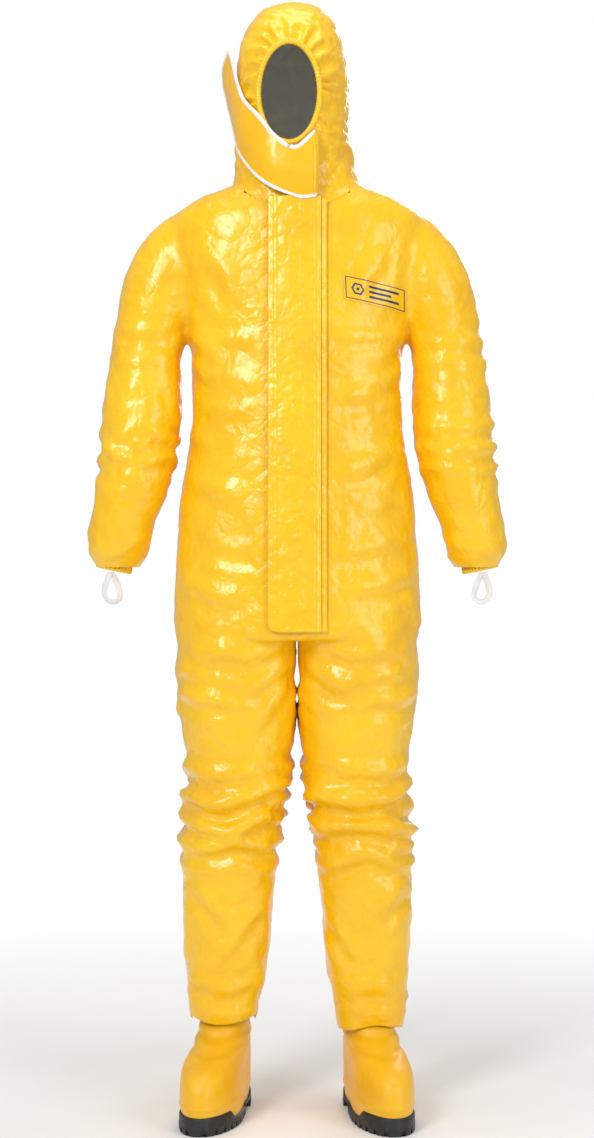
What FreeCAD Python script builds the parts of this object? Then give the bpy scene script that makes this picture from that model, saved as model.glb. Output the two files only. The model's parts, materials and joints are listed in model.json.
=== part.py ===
"""Chemical protective suit with hood, chin flap, storm flap over a zip, and safety boots.

Millimetres. The suit stands on its boots on the floor at z = 0 and faces -Y, so the
wearer's left is +X. The origin is on the floor, under the middle of the whole.
Cloth panels are plain shells: outer shape, wall, seams and openings, with no folds.
"""
import FreeCAD, Part
import math
import os

Vector = FreeCAD.Vector
os.makedirs("parts", exist_ok=True)

# ---------------------------------------------------------------- driving dimensions
CLOTH = 2.5                 # wall of a cloth panel
BODY_Y = 23.4               # middle of the wearer, behind the middle of the whole
SIDE_SEAM_Y = 10.0          # side seams, behind the middle of the wearer
FAR = 1200.0                # longer than anything that is cut

NECK_Z = 1530.0             # seam between the body and the hood
CROTCH_Z = 790.0            # flat bottom of the trunk between the legs
FRONT_TOP = 96.0            # front of the neck, ahead of the middle of the wearer
FRONT_SLOPE = 0.05          # how far the straight front line comes forward per unit down

HOOD_X = -8.0               # the hood sits a little to the wearer's right
HOOD_TOP_Z = 1850.0
FACE_Z = 1690.0             # middle of the face opening
FACE_X = -13.0
FACE_HALF = (53.0, 88.0)    # half width and half height of the face opening
FACE_HEM = 9.0              # width of the gathered edge round it
HOOD_STRIP = 45.0           # half width of the centre strip over the crown

SHOULDER = Vector(204.0, BODY_Y + 10.0, 1394.0)
SHOULDER_R = 68.0
ARM_TILT = 12.0             # degrees out from straight down
ELBOW = 295.0               # down the arm from the shoulder
ELBOW_R = 63.5
WRIST = 500.0
CUFF = 13.0                 # height of the elastic cuff
BALL_GAP = 1.6              # free space round the shoulder ball
SWING_OUT = 70.0            # how far an arm swings out

ZIP_X = 14.0                # the zip lies a little to the wearer's left of the middle
ZIP_TOP_Z = 1500.0
ZIP_BOTTOM_Z = 826.0
ZIP_STOP = 6.0              # length of each end stop
SLIDER_TOP_Z = 1491.0

FLAP_HINGE_X = 40.0         # sewn edge of the storm flap
FLAP_FREE_X = -48.0
FLAP_TOP_Z = 1508.0
FLAP_BOTTOM_Z = 804.0
FLAP_OFF = 8.5              # storm flap clear of the body by this much
FLAP_WALL = 1.5

CHIN_HINGE_X = 37.0         # sewn edge of the chin flap
CHIN_OFF = 4.5
CHIN_WALL = 2.0

LEG_TURN = 11.0             # degrees that each boot is turned out
BOOT_X = 121.0
BOOT_Y = BODY_Y + 15.0
HEM_Z = 156.0
HEM_HEIGHT = 22.0
SOLE = 33.0
LUG = 8.0
BOOT_WALL = 4.0
SHAFT_TOP = 330.0


# ---------------------------------------------------------------- shape tools
def save(name, shape):
    """Write one sub-part to its own STEP file."""
    shape.exportStep("parts/" + name + ".step")


def box(x0, x1, y0, y1, z0, z1):
    """A box from its low and high corners."""
    return Part.makeBox(x1 - x0, y1 - y0, z1 - z0, Vector(x0, y0, z0))


def ring(z, cx, cy, a, b, power=2.0, count=16):
    """A closed smooth outline at height z: an ellipse, boxier where power is above 2."""
    points = []
    for step in range(count):
        angle = 2 * math.pi * step / count
        c = math.cos(angle)
        s = math.sin(angle)
        x = math.copysign(abs(c) ** (2 / power), c)
        y = math.copysign(abs(s) ** (2 / power), s)
        points.append(Vector(cx + a * x, cy + b * y, z))
    curve = Part.BSplineCurve()
    curve.interpolate(Points=points, PeriodicFlag=True)
    return Part.Wire([curve.toShape()])


def loft(rings):
    """A solid through closed outlines, straight from each one to the next."""
    return Part.makeLoft(rings, True, True)


def slab_under(point, normal):
    """A large half-space block on the side of a plane that its normal points away from."""
    block = box(-FAR, FAR, -FAR, FAR, -2 * FAR, 0)
    block.Placement = FreeCAD.Placement(point, FreeCAD.Rotation(Vector(0, 0, 1), normal))
    return block


def prism(points, y0, y1):
    """A front-view polygon of (x, z) points, extruded from y0 to y1."""
    corners = [Vector(x, y0, z) for x, z in points]
    face = Part.Face(Part.makePolygon(corners + corners[:1]))
    return face.extrude(Vector(0, y1 - y0, 0))


def oval(cx, cz, a, b, y0, y1):
    """A front-view ellipse, taller than wide, extruded from y0 to y1."""
    middle = Vector(cx, y0, cz)
    edge = Part.Ellipse(Vector(cx, y0, cz + b), Vector(cx + a, y0, cz), middle).toShape()
    return Part.Face(Part.Wire([edge])).extrude(Vector(0, y1 - y0, 0))


# ---------------------------------------------------------------- body of the suit
# height, half width, back of the body behind the middle of the wearer
TRUNK = (
    (NECK_Z, 99, 92), (1518, 150, 100), (1485, 208, 118), (1425, 212, 130), (1340, 184, 138),
    (1240, 172, 138), (1120, 184, 128), (985, 196, 134), (860, 203, 142), (CROTCH_Z, 200, 140),
)
# height, middle x, half width, middle y behind the wearer's, half depth
LEG = (
    (860, 84, 88, 6, 120), (CROTCH_Z, 100, 95, 4, 122), (735, 103, 98, 4, 116), (660, 101, 93, 4, 108),
    (580, 99, 87, 4, 100), (500, 105, 86, 8, 96), (420, 112, 80, 12, 90), (320, 116, 72, 15, 82),
    (230, 118, 66, 15, 74), (HEM_Z, BOOT_X, 55, 15, 66),
)


def trunk_solid(grow):
    """The trunk as a solid, grown by a distance all round (its ends too when shrunk)."""
    rings = []
    for z, half, back in TRUNK:
        front = FRONT_TOP + (NECK_Z - z) * FRONT_SLOPE
        middle = BODY_Y + (back - front) / 2
        depth = (back + front) / 2
        at = z
        if z == CROTCH_Z:
            at = z - min(grow, 0)
        rings.append(ring(at, 0, middle, half + grow, depth + grow, power=2.4))
    return loft(rings)


def leg_solid(grow, side):
    """One leg as a solid, open-ended at the hem when shrunk."""
    rings = []
    for z, cx, half, cy, depth in LEG:
        at = z
        if z == HEM_Z:
            at = z + min(grow, 0) * 2
        rings.append(ring(at, side * cx, BODY_Y + cy, half + grow, depth + grow, power=2.2))
    return loft(rings)


def arm_placement(side):
    """From arm space (shoulder at the origin, arm straight down) to the suit."""
    place = Vector(side * SHOULDER.x, SHOULDER.y, SHOULDER.z)
    return FreeCAD.Placement(place, FreeCAD.Rotation(Vector(0, 1, 0), -side * ARM_TILT))


def arm_rings(stations, grow, side):
    """Outlines across an arm, from (distance down, offset outward, radius) stations."""
    return [ring(-down, side * out, 0, radius + grow, radius + grow) for down, out, radius in stations]


# distance down the arm, offset outward, radius
UPPER_SLEEVE = (
    (0, 1, 65), (55, 11, 61), (110, 16, 60), (170, 9, 63.5), (235, 2, 67), (ELBOW, -1, 68.5),
)
RIM_LOW = 40.0              # how far the upper sleeve runs past the elbow before its rim is cut
FOREARM = (
    (ELBOW, 0, 62), (ELBOW + 55, -3, 58.5), (ELBOW + 105, 1, 53), (ELBOW + 155, 2, 50),
    (ELBOW + 180, 0, 46), (ELBOW + 195, -1, 34), (WRIST, -2, 30),
)


def upper_sleeve_solid(grow, side, past):
    """Ball at the shoulder and the tube below it, to some distance past the elbow, in arm space."""
    end = (ELBOW + past,) + UPPER_SLEEVE[-1][1:]
    tube = loft(arm_rings(UPPER_SLEEVE + (end,), grow, side))
    return Part.makeSphere(SHOULDER_R + grow).fuse(tube)


def placed(shape, side):
    """An arm-space shape, put in the suit."""
    moved = shape.copy()
    moved.Placement = arm_placement(side).multiply(moved.Placement)
    return moved


def ball_mouth(centre, lean, radius):
    """A cutter that opens a ball towards its top, leaning about Y by some degrees."""
    cone = Part.makeCylinder(radius, 90, Vector(0, 0, 0), Vector(0, 0, 1))
    cone.Placement = FreeCAD.Placement(centre, lean)
    return cone


def upper_sleeve(side):
    """Upper sleeve shell with its mouth into the trunk and a slanted lower rim."""
    shell = upper_sleeve_solid(0, side, RIM_LOW).cut(upper_sleeve_solid(-CLOTH, side, RIM_LOW + 20))
    lean = FreeCAD.Rotation(Vector(0, 1, 0), -side * (35 - ARM_TILT))
    shell = shell.cut(ball_mouth(Vector(0, 0, 0), lean, 52))
    rim_normal = Vector(0, -46, -134)
    rim_point = Vector(0, 0, -ELBOW + 12)
    return shell.cut(slab_under(rim_point, rim_normal * -1))


def forearm_solid(grow, side):
    """Ball at the elbow and the tube below it, in arm space."""
    ball = Part.makeSphere(ELBOW_R + grow, Vector(0, 0, -ELBOW))
    return ball.fuse(loft(arm_rings(FOREARM, grow, side)))


def forearm_sleeve(side):
    """Forearm shell, open at the elbow and at the wrist, without its elastic cuff."""
    inner = forearm_solid(-CLOTH, side)
    shell = forearm_solid(0, side).cut(inner)
    lean = FreeCAD.Rotation(Vector(1, 0, 0), 25)
    shell = shell.cut(ball_mouth(Vector(0, 0, -ELBOW), lean, 41))
    return shell.cut(box(-FAR, FAR, -FAR, FAR, -FAR, -WRIST + CUFF))


def cuff_elastic(side):
    """The gathered ring that ends a sleeve."""
    outer = Part.makeCylinder(31, CUFF, Vector(side * -1.5, 0, -WRIST))
    hole = Part.makeCylinder(26, CUFF, Vector(side * -1.5, 0, -WRIST))
    return outer.cut(hole)


LOOP_R = 14.0               # inside radius of the thumb loop's bow
LOOP_DROP = 34.0            # from its sewn top to the middle of the bow
LOOP_BAND = 12.0            # width of the elastic band
LOOP_WALL = 1.4
LOOP_GAP = 0.8              # below the cuff


def teardrop(radius, drop):
    """A front-view outline with its point at the origin and a round bow below."""
    half = math.asin(radius / drop)
    x = radius * math.cos(half)
    z = -drop + radius * math.sin(half)
    left = Part.makeLine(Vector(0, 0, 0), Vector(-x, 0, z))
    bow = Part.Arc(Vector(-x, 0, z), Vector(0, 0, -drop - radius), Vector(x, 0, z)).toShape()
    right = Part.makeLine(Vector(x, 0, z), Vector(0, 0, 0))
    return Part.Face(Part.Wire([left, bow, right]))


def loop_top(side):
    """The sewn top of a thumb loop, under the front of its cuff."""
    return arm_placement(side).multVec(Vector(side * -1.5, -28.5, -WRIST - LOOP_GAP))


def thumb_loop(side):
    """A flat elastic band bent into a drop, hanging straight down."""
    outer = teardrop(LOOP_R + LOOP_WALL, LOOP_DROP)
    inner = teardrop(LOOP_R, LOOP_DROP - 3)
    inner.translate(Vector(0, 0, -3))
    band = outer.extrude(Vector(0, LOOP_BAND, 0)).cut(inner.extrude(Vector(0, LOOP_BAND, 0)))
    band.translate(loop_top(side) - Vector(0, LOOP_BAND / 2, 2.0))
    return band


def body_panels():
    """Trunk and trouser legs as one shell, cut at its seams into panels."""
    outer = trunk_solid(0).fuse([leg_solid(0, 1), leg_solid(0, -1)])
    inner = trunk_solid(-CLOTH).fuse([leg_solid(-CLOTH, 1), leg_solid(-CLOTH, -1)])
    shell = outer.cut(inner)
    for side in (1, -1):
        ball = Part.makeSphere(SHOULDER_R + BALL_GAP, Vector(side * SHOULDER.x, SHOULDER.y, SHOULDER.z))
        shell = shell.cut(ball)
        for turn in (0, SWING_OUT / 2, SWING_OUT):
            tube = loft(arm_rings(UPPER_SLEEVE[:5], BALL_GAP, side))
            tube.Placement = arm_placement(side).multiply(
                FreeCAD.Placement(Vector(0, 0, 0), FreeCAD.Rotation(Vector(0, 1, 0), -side * turn)))
            shell = shell.cut(tube)
    seam_y = BODY_Y + SIDE_SEAM_Y
    gusset = box(-36, 36, -FAR, FAR, CROTCH_Z - 20, CROTCH_Z + 6)
    slit = box(ZIP_X - 3.4, ZIP_X + 3.4, -FAR, BODY_Y, ZIP_BOTTOM_Z - ZIP_STOP - 0.5, NECK_Z + 1)
    zones = {
        "front_panel": (-FAR, seam_y, CROTCH_Z, NECK_Z),
        "back_panel": (seam_y, FAR, CROTCH_Z, NECK_Z),
        "trouser_front": (-FAR, seam_y, HEM_Z + HEM_HEIGHT, CROTCH_Z),
        "trouser_back": (seam_y, FAR, HEM_Z + HEM_HEIGHT, CROTCH_Z),
        "trouser_hem": (-FAR, FAR, HEM_Z - 5, HEM_Z + HEM_HEIGHT),
    }
    panels = {"crotch_gusset": shell.common(gusset)}
    rest = shell.cut(gusset)
    for name, (y0, y1, z0, z1) in zones.items():
        middle = ZIP_X if name == "front_panel" else 0
        left = rest.common(box(middle, FAR, y0, y1, z0, z1))
        right = rest.common(box(-FAR, middle, y0, y1, z0, z1))
        if name == "front_panel":
            left = left.cut(slit)
            right = right.cut(slit)
        panels[name + "_left"] = left
        panels[name + "_right"] = right
    return panels


def front_strip(x0, x1, z0, z1, low, high):
    """Part of a layer over the front of the trunk, from low to high above its surface."""
    layer = trunk_solid(high).cut(trunk_solid(low))
    return layer.common(box(x0, x1, -FAR, BODY_Y - 40, z0, z1))


# ---------------------------------------------------------------- zip and storm flap
def front_line_y(z, above):
    """The straight front line of the trunk, at some height above the cloth."""
    return BODY_Y - FRONT_TOP - (NECK_Z - z) * FRONT_SLOPE - above


def front_bar(x0, x1, z0, z1, low, high):
    """A straight bar along the front line, from low to high above the cloth."""
    corners = [
        Vector(x0, front_line_y(z0, low), z0),
        Vector(x0, front_line_y(z1, low), z1),
        Vector(x0, front_line_y(z1, high), z1),
        Vector(x0, front_line_y(z0, high), z0),
    ]
    face = Part.Face(Part.makePolygon(corners + corners[:1]))
    return face.extrude(Vector(x1 - x0, 0, 0))


def zip_parts():
    """Tapes, chain and stops of the front zip."""
    parts = {}
    parts["zip_tape_left"] = front_strip(ZIP_X + 3.4, ZIP_X + 16, ZIP_BOTTOM_Z, ZIP_TOP_Z, 0, 0.8)
    parts["zip_tape_right"] = front_strip(ZIP_X - 16, ZIP_X - 3.4, ZIP_BOTTOM_Z, ZIP_TOP_Z, 0, 0.8)
    parts["zip_chain"] = front_bar(ZIP_X - 3, ZIP_X + 3, ZIP_BOTTOM_Z, ZIP_TOP_Z - 8, -1.2, 1.4)
    parts["zip_top_stop"] = front_bar(ZIP_X - 3, ZIP_X + 3, ZIP_TOP_Z - 8, ZIP_TOP_Z - 8 + ZIP_STOP, -1.2, 2.6)
    parts["zip_bottom_stop"] = front_bar(ZIP_X - 3, ZIP_X + 3, ZIP_BOTTOM_Z - ZIP_STOP, ZIP_BOTTOM_Z, -1.2, 2.6)
    return parts


SLIDER_LENGTH = 12.0
SLIDER_HALF = 5.6
PIN_R = 0.9
PIN_GAP = 0.05
PIN_ABOVE = 5.0             # height of the pull's pin above the cloth
LUG_HALF = 3.2              # half the distance over the slider's two lugs
PULL_LENGTH = 34.0


def pin_place():
    """Middle of the pull's pin."""
    z = SLIDER_TOP_Z - 5
    return Vector(ZIP_X, front_line_y(z, PIN_ABOVE), z)


def zip_slider():
    """Slider: a plate over the chain, two side walls, two lugs and the pull's pin."""
    low_z = SLIDER_TOP_Z - SLIDER_LENGTH
    plate = front_bar(ZIP_X - SLIDER_HALF, ZIP_X + SLIDER_HALF, low_z, SLIDER_TOP_Z, 1.9, 3.4)
    shape = plate
    for side in (-1, 1):
        edges = sorted((ZIP_X + side * 3.6, ZIP_X + side * SLIDER_HALF))
        shape = shape.fuse(front_bar(edges[0], edges[1], low_z, SLIDER_TOP_Z, 1.3, 1.9))
        lugs = sorted((ZIP_X + side * 2.2, ZIP_X + side * LUG_HALF))
        shape = shape.fuse(front_bar(lugs[0], lugs[1], SLIDER_TOP_Z - 7, SLIDER_TOP_Z - 3, 3.4, 6.2))
    pin = Part.makeCylinder(PIN_R, 2 * LUG_HALF, pin_place() - Vector(LUG_HALF, 0, 0), Vector(1, 0, 0))
    return shape.fuse(pin)


def zip_pull():
    """A flat pull that hangs from the slider's pin."""
    pin = pin_place()
    eye = Part.makeCylinder(1.5, 4.0, pin - Vector(2.0, 0, 0), Vector(1, 0, 0))
    low_z = pin.z - PULL_LENGTH
    neck = front_bar(ZIP_X - 2.0, ZIP_X + 2.0, pin.z - 8, pin.z, PIN_ABOVE - 0.7, PIN_ABOVE + 0.7)
    tab = front_bar(ZIP_X - 4.5, ZIP_X + 4.5, low_z, pin.z - 7, PIN_ABOVE - 0.7, PIN_ABOVE + 0.7)
    bore = Part.makeCylinder(PIN_R + PIN_GAP, 20, pin - Vector(10, 0, 0), Vector(1, 0, 0))
    hole = Part.makeCylinder(2.5, 20, Vector(ZIP_X, pin.y - 8, low_z + 6), Vector(0, 1, 0))
    return eye.fuse([neck, tab]).cut(bore).cut(hole)


def storm_flap_parts():
    """The flap over the zip, its sewn hem, its adhesive strip, and the flap inside the zip."""
    top = FLAP_OFF + FLAP_WALL
    parts = {}
    parts["storm_flap"] = front_strip(FLAP_FREE_X, FLAP_HINGE_X, FLAP_BOTTOM_Z, FLAP_TOP_Z, FLAP_OFF, top)
    parts["storm_flap_hem"] = front_strip(
        FLAP_HINGE_X + 0.6, FLAP_HINGE_X + 8, FLAP_BOTTOM_Z, FLAP_TOP_Z, 0, top)
    parts["storm_flap_adhesive_strip"] = front_strip(
        FLAP_FREE_X + 4, FLAP_FREE_X + 18, FLAP_BOTTOM_Z + 10, FLAP_TOP_Z - 10, FLAP_OFF - 0.6, FLAP_OFF)
    parts["inner_flap"] = front_strip(
        ZIP_X - 40, ZIP_X + 40, ZIP_BOTTOM_Z - 4, ZIP_TOP_Z, -CLOTH - 2.0, -CLOTH - 0.4)
    return parts


def chest_badge():
    """A plain badge on the wearer's left chest, tilted down to the outside."""
    outline = ((77, 1383), (168, 1365), (163, 1331), (79, 1346))
    layer = trunk_solid(0.9).cut(trunk_solid(0))
    return layer.common(prism(outline, -FAR, BODY_Y - 20))


# ---------------------------------------------------------------- hood
# height, half width, front and back from the middle of the wearer
HOOD = (
    (NECK_Z, 98, 96, 92), (1600, 96, 108, 110), (1690, 95, 114, 122), (1755, 92, 107, 124),
    (1800, 78, 86, 106), (1832, 52, 52, 76), (HOOD_TOP_Z, 14, 12, 26),
)


def hood_solid(grow):
    """The hood as a solid; it is open at the neck when shrunk."""
    rings = []
    for z, half, front, back in HOOD:
        at = z
        if z == HOOD_TOP_Z:
            at = z + grow
        middle = BODY_Y + (back - front) / 2
        rings.append(ring(at, HOOD_X, middle, half + grow, (front + back) / 2 + grow, power=2.15))
    return loft(rings)


def hood_parts():
    """Two side panels, a centre strip over the crown, and the gathered face edge."""
    shell = hood_solid(0).cut(hood_solid(-CLOTH))
    shell = shell.common(box(-FAR, FAR, -FAR, FAR, NECK_Z + 0.6, HOOD_TOP_Z + 10))
    a, b = FACE_HALF
    opening = oval(FACE_X, FACE_Z, a, b, -FAR, BODY_Y)
    hem_hole = oval(FACE_X, FACE_Z, a + FACE_HEM, b + FACE_HEM, -FAR, BODY_Y)
    panels = shell.cut(hem_hole)
    strip = box(HOOD_X - HOOD_STRIP, HOOD_X + HOOD_STRIP, -FAR, FAR, 0, 3 * FAR)
    back = box(-FAR, FAR, BODY_Y, FAR, 0, 3 * FAR)
    crown = box(-FAR, FAR, -FAR, FAR, FACE_Z + b + FACE_HEM + 2, 3 * FAR)
    strip = strip.common(back.fuse(crown))
    edge = hood_solid(1.5).cut(hood_solid(-CLOTH - 1.5))
    rest = panels.cut(strip)
    return {
        "hood_centre_strip": panels.common(strip),
        "hood_side_left": rest.common(box(HOOD_X, FAR, -FAR, FAR, 0, 3 * FAR)),
        "hood_side_right": rest.common(box(-FAR, HOOD_X, -FAR, FAR, 0, 3 * FAR)),
        "hood_face_elastic": edge.common(hem_hole).cut(opening),
    }


# front view (x, z): along the lower edge to the cheek, then back along the upper edge
CHIN_OUTLINE = (
    (60, 1526), (-20, 1533), (-57, 1546), (-93, 1588), (-107, 1640), (-150, 1690), (-150, 1800), (-112, 1772),
    (-93, 1746), (-55, 1684), (-10, 1607), (6, 1608), (24, 1625), (60, 1636),
)
CHIN_REAR = BODY_Y + 20     # the free end, beside the cheek
BINDING = 6.0


def chin_zone(inset):
    """The chin flap's front-view outline as a block, drawn in along its free edges."""
    corners = [Vector(x, 0, z) for x, z in CHIN_OUTLINE]
    wire = Part.makePolygon(corners + corners[:1])
    if inset:
        wire = wire.makeOffset2D(-inset)
    block = Part.Face(wire).extrude(Vector(0, 2 * FAR, 0))
    block.translate(Vector(0, -FAR, 0))
    return block.common(box(-FAR, CHIN_HINGE_X, -FAR, CHIN_REAR - inset, 0, 2 * FAR))


def chin_parts():
    """Chin flap, the white binding round it, its adhesive strip and its sewn edge."""
    top = CHIN_OFF + CHIN_WALL
    layer = hood_solid(top).cut(hood_solid(CHIN_OFF))
    whole = layer.common(chin_zone(0))
    inside = chin_zone(BINDING)
    strip_layer = hood_solid(CHIN_OFF).cut(hood_solid(CHIN_OFF - 0.6))
    strip = strip_layer.common(prism(((-104, 1660), (-86, 1650), (-86, 1720), (-104, 1735)), -FAR, BODY_Y))
    sewn = hood_solid(top).cut(hood_solid(0))
    hem = ((CHIN_HINGE_X + 0.6, 1534), (CHIN_HINGE_X + 7, 1534), (CHIN_HINGE_X + 7, 1630),
           (CHIN_HINGE_X + 0.6, 1630))
    return {
        "chin_flap": whole.common(inside),
        "chin_flap_binding": whole.cut(inside),
        "chin_flap_adhesive_strip": strip,
        "chin_flap_hem": sewn.common(prism(hem, -FAR, BODY_Y)),
    }


# ---------------------------------------------------------------- boots
# height, toe and heel from the shaft's axis, half width, how far the toe tapers
SHAFT_TOE = 74.0            # a ring whose toe reaches less than this is round
FOOT_POINTS = 20
BOOT = (
    (SOLE, 203, 84, 50), (58, 206, 87, 52), (84, 186, 86, 50), (104, 128, 80, 45), (124, 74, 68, 42),
    (150, 52, 56, 41), (190, 50, 54, 41), (260, 52, 55, 43), (SHAFT_TOP, 54, 56, 45),
)


def foot_ring(z, toe, heel, half, grow=0.0):
    """A foot-shaped outline: round toe, widest at the ball, narrower at the arch and heel.
    The narrowing fades out where the foot becomes the shaft. Four edges, because the volume
    inside one long spline edge is worked out badly."""
    shape = max(0.0, min(1.0, (toe - SHAFT_TOE) / (BOOT[0][1] - SHAFT_TOE)))
    middle = (heel - toe) / 2
    reach = (heel + toe) / 2 + grow
    points = []
    for i in range(FOOT_POINTS):
        turn = 2 * math.pi * i / FOOT_POINTS
        y = middle - reach * math.cos(turn)
        behind = (y - middle) / reach
        narrow = 0.14 * math.exp(-((behind - 0.2) / 0.4) ** 2) + 0.1 * max(0.0, behind)
        points.append(Vector((half * (1 - shape * narrow) + grow) * math.sin(turn), y, z))
    curve = Part.BSplineCurve()
    curve.interpolate(Points=points, PeriodicFlag=True)
    first, last = curve.FirstParameter, curve.LastParameter
    stops = [first] + [curve.parameter(points[k * FOOT_POINTS // 4]) for k in (1, 2, 3)] + [last]
    return Part.Wire([curve.toShape(a, b) for a, b in zip(stops, stops[1:])])


def boot_solid(grow):
    """Boot upper as a solid about its shaft's axis, toe towards -Y."""
    return loft([foot_ring(z, toe, heel, half, grow) for z, toe, heel, half in BOOT])


def sole_plate(z0, z1, grow):
    """A flat plate with the boot's outline."""
    z, toe, heel, half = BOOT[0]
    face = Part.Face(foot_ring(z0, toe, heel, half, grow))
    return face.extrude(Vector(0, 0, z1 - z0))


def outsole():
    """Outsole with a raised arch and lugs."""
    shape = sole_plate(0, SOLE, 4)
    shape = shape.cut(box(-90, 90, -24, 22, -1, 15))
    for y in (-186, -162, -138, -114, -90, -66, -42, 40, 62):
        shape = shape.cut(box(-90, 90, y - 3.5, y + 3.5, -1, LUG))
    return shape.cut(box(-5, 5, -172, 74, -1, LUG))


def boot_parts(side):
    """All pieces of one boot, turned out and put under its leg."""
    shell = boot_solid(0)
    inside = boot_solid(-BOOT_WALL)
    above = box(-FAR, FAR, -FAR, FAR, SHAFT_TOP - 1, SHAFT_TOP + 5)
    top_ring = BOOT[-1]
    mouth = Part.Face(foot_ring(SHAFT_TOP - 2, top_ring[1], top_ring[2], top_ring[3], -BOOT_WALL))
    shell = shell.cut(inside).cut(mouth.extrude(Vector(0, 0, 10))).cut(above)
    cap_zone = box(-90, 90, -FAR, -138, SOLE + 7, 100)
    cap = boot_solid(-BOOT_WALL - 0.3).cut(boot_solid(-BOOT_WALL - 2.5)).common(cap_zone)
    pieces = {
        "boot_upper": shell,
        "boot_outsole": outsole(),
        "boot_midsole_plate": sole_plate(SOLE, SOLE + 1.5, -BOOT_WALL - 1),
        "boot_insole": sole_plate(SOLE + 1.5, SOLE + 6.5, -BOOT_WALL - 2),
        "boot_toe_cap": cap,
    }
    names = {1: "_left", -1: "_right"}
    spot = Vector(side * BOOT_X, BOOT_Y, 0)
    turn = FreeCAD.Placement(spot, FreeCAD.Rotation(Vector(0, 0, 1), side * LEG_TURN))
    done = {}
    for name, piece in pieces.items():
        moved = piece.copy()
        moved.Placement = turn.multiply(moved.Placement)
        done[name + names[side]] = moved
    return done


# ---------------------------------------------------------------- write every sub-part
def make_all():
    """Every sub-part of the suit by name."""
    parts = {}
    parts.update(body_panels())
    parts.update(zip_parts())
    parts["zip_slider"] = zip_slider()
    parts["zip_pull"] = zip_pull()
    parts.update(storm_flap_parts())
    parts["chest_badge"] = chest_badge()
    parts.update(hood_parts())
    parts.update(chin_parts())
    for side, name in ((1, "_left"), (-1, "_right")):
        parts["upper_sleeve" + name] = placed(upper_sleeve(side), side)
        parts["forearm_sleeve" + name] = placed(forearm_sleeve(side), side)
        parts["cuff_elastic" + name] = placed(cuff_elastic(side), side)
        parts["thumb_loop" + name] = thumb_loop(side)
        parts.update(boot_parts(side))
    return parts


for part_name, part_shape in make_all().items():
    save(part_name, part_shape)
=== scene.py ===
"""Looks of the chemical protective suit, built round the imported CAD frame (metres)."""
import bpy
import bmesh
import json
import math
import numpy as np
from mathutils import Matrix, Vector
from mathutils.bvhtree import BVHTree


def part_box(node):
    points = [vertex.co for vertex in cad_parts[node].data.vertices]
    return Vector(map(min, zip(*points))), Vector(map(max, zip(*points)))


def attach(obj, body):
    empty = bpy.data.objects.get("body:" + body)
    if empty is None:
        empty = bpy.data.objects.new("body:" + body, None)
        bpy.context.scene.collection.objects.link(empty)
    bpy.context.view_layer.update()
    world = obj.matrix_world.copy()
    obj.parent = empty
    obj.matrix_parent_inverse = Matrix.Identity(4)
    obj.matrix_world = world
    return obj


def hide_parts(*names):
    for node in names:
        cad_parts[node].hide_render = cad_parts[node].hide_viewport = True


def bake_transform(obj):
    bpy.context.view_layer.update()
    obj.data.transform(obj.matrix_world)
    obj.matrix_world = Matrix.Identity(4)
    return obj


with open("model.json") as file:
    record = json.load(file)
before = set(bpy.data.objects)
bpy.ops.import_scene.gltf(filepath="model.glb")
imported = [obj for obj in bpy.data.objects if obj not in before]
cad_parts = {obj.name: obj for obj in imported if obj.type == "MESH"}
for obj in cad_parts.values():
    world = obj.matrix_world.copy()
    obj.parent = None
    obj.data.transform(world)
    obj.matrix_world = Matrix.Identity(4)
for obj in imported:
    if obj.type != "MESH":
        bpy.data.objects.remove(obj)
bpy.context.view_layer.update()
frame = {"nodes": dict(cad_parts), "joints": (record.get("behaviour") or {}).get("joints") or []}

JOINT = {j["name"]: j for j in frame["joints"]}
SIDES = ((1, "left"), (-1, "right"))

# ---------------------------------------------------------------- measures from the frame
NAPE_TO_MIDDLE = 0.0935      # the hood bends this far behind the wearer's middle
BODY_Y = JOINT["hood_push_back"]["pos_m"][1] - NAPE_TO_MIDDLE
NECK_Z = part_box("front_panel_left")[1][2]
HEM_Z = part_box("trouser_hem_left")[0][2]
ZIP_X = JOINT["zip_pull_lift"]["pos_m"][0]
SHOULDER = Vector(JOINT["arm_left_swing_out"]["pos_m"])
BOOT_AXIS = Vector(JOINT["boot_left_turn"]["pos_m"])
HOOD_X = JOINT["hood_push_back"]["pos_m"][0]
CUFF_Z = 0.908               # where the sleeves are cut
SLEEVE_X = 0.24              # near the cuffs, only the sleeves lie further out
CAMERA_AWAY = 4.0            # camera ahead of the wearer's middle, and its height
EYE_Z = 0.95
LENS, LOOK_DOWN = 75.86, 0.645          # millimetres, and degrees below level


def forearm_down(s):
    """Direction from elbow to cuff on one side."""
    return Vector((s * 0.2079, 0, -0.9781))


# thickness of each kind of sheet
CLOTH_WALL, HOOD_WALL, CHIN_WALL, FLAP_WALL, BOOT_WALL = 0.0009, 0.0010, 0.0012, 0.0011, 0.0036


# ---------------------------------------------------------------- mesh tools
def link(name, verts, faces):
    """A mesh object from plain lists."""
    mesh = bpy.data.meshes.new(name)
    mesh.from_pydata([tuple(v) for v in verts], [], [tuple(f) for f in faces])
    mesh.update()
    obj = bpy.data.objects.new(name, mesh)
    bpy.context.scene.collection.objects.link(obj)
    return obj


def grid_faces(rows, cols, wrap=False):
    """Quads between rows of cols points each, closed round when wrap is set."""
    faces = []
    last = cols if wrap else cols - 1
    for r in range(rows - 1):
        for c in range(last):
            d = (c + 1) % cols
            faces.append((r * cols + c, r * cols + d, (r + 1) * cols + d, (r + 1) * cols + c))
    return faces


def points_of(obj):
    """Vertex positions as an array."""
    co = np.empty(len(obj.data.vertices) * 3, np.float32)
    obj.data.vertices.foreach_get("co", co)
    return co.reshape(-1, 3).astype(float)


def set_points(obj, co):
    obj.data.vertices.foreach_set("co", np.asarray(co, np.float32).ravel())
    obj.data.update()


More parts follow.
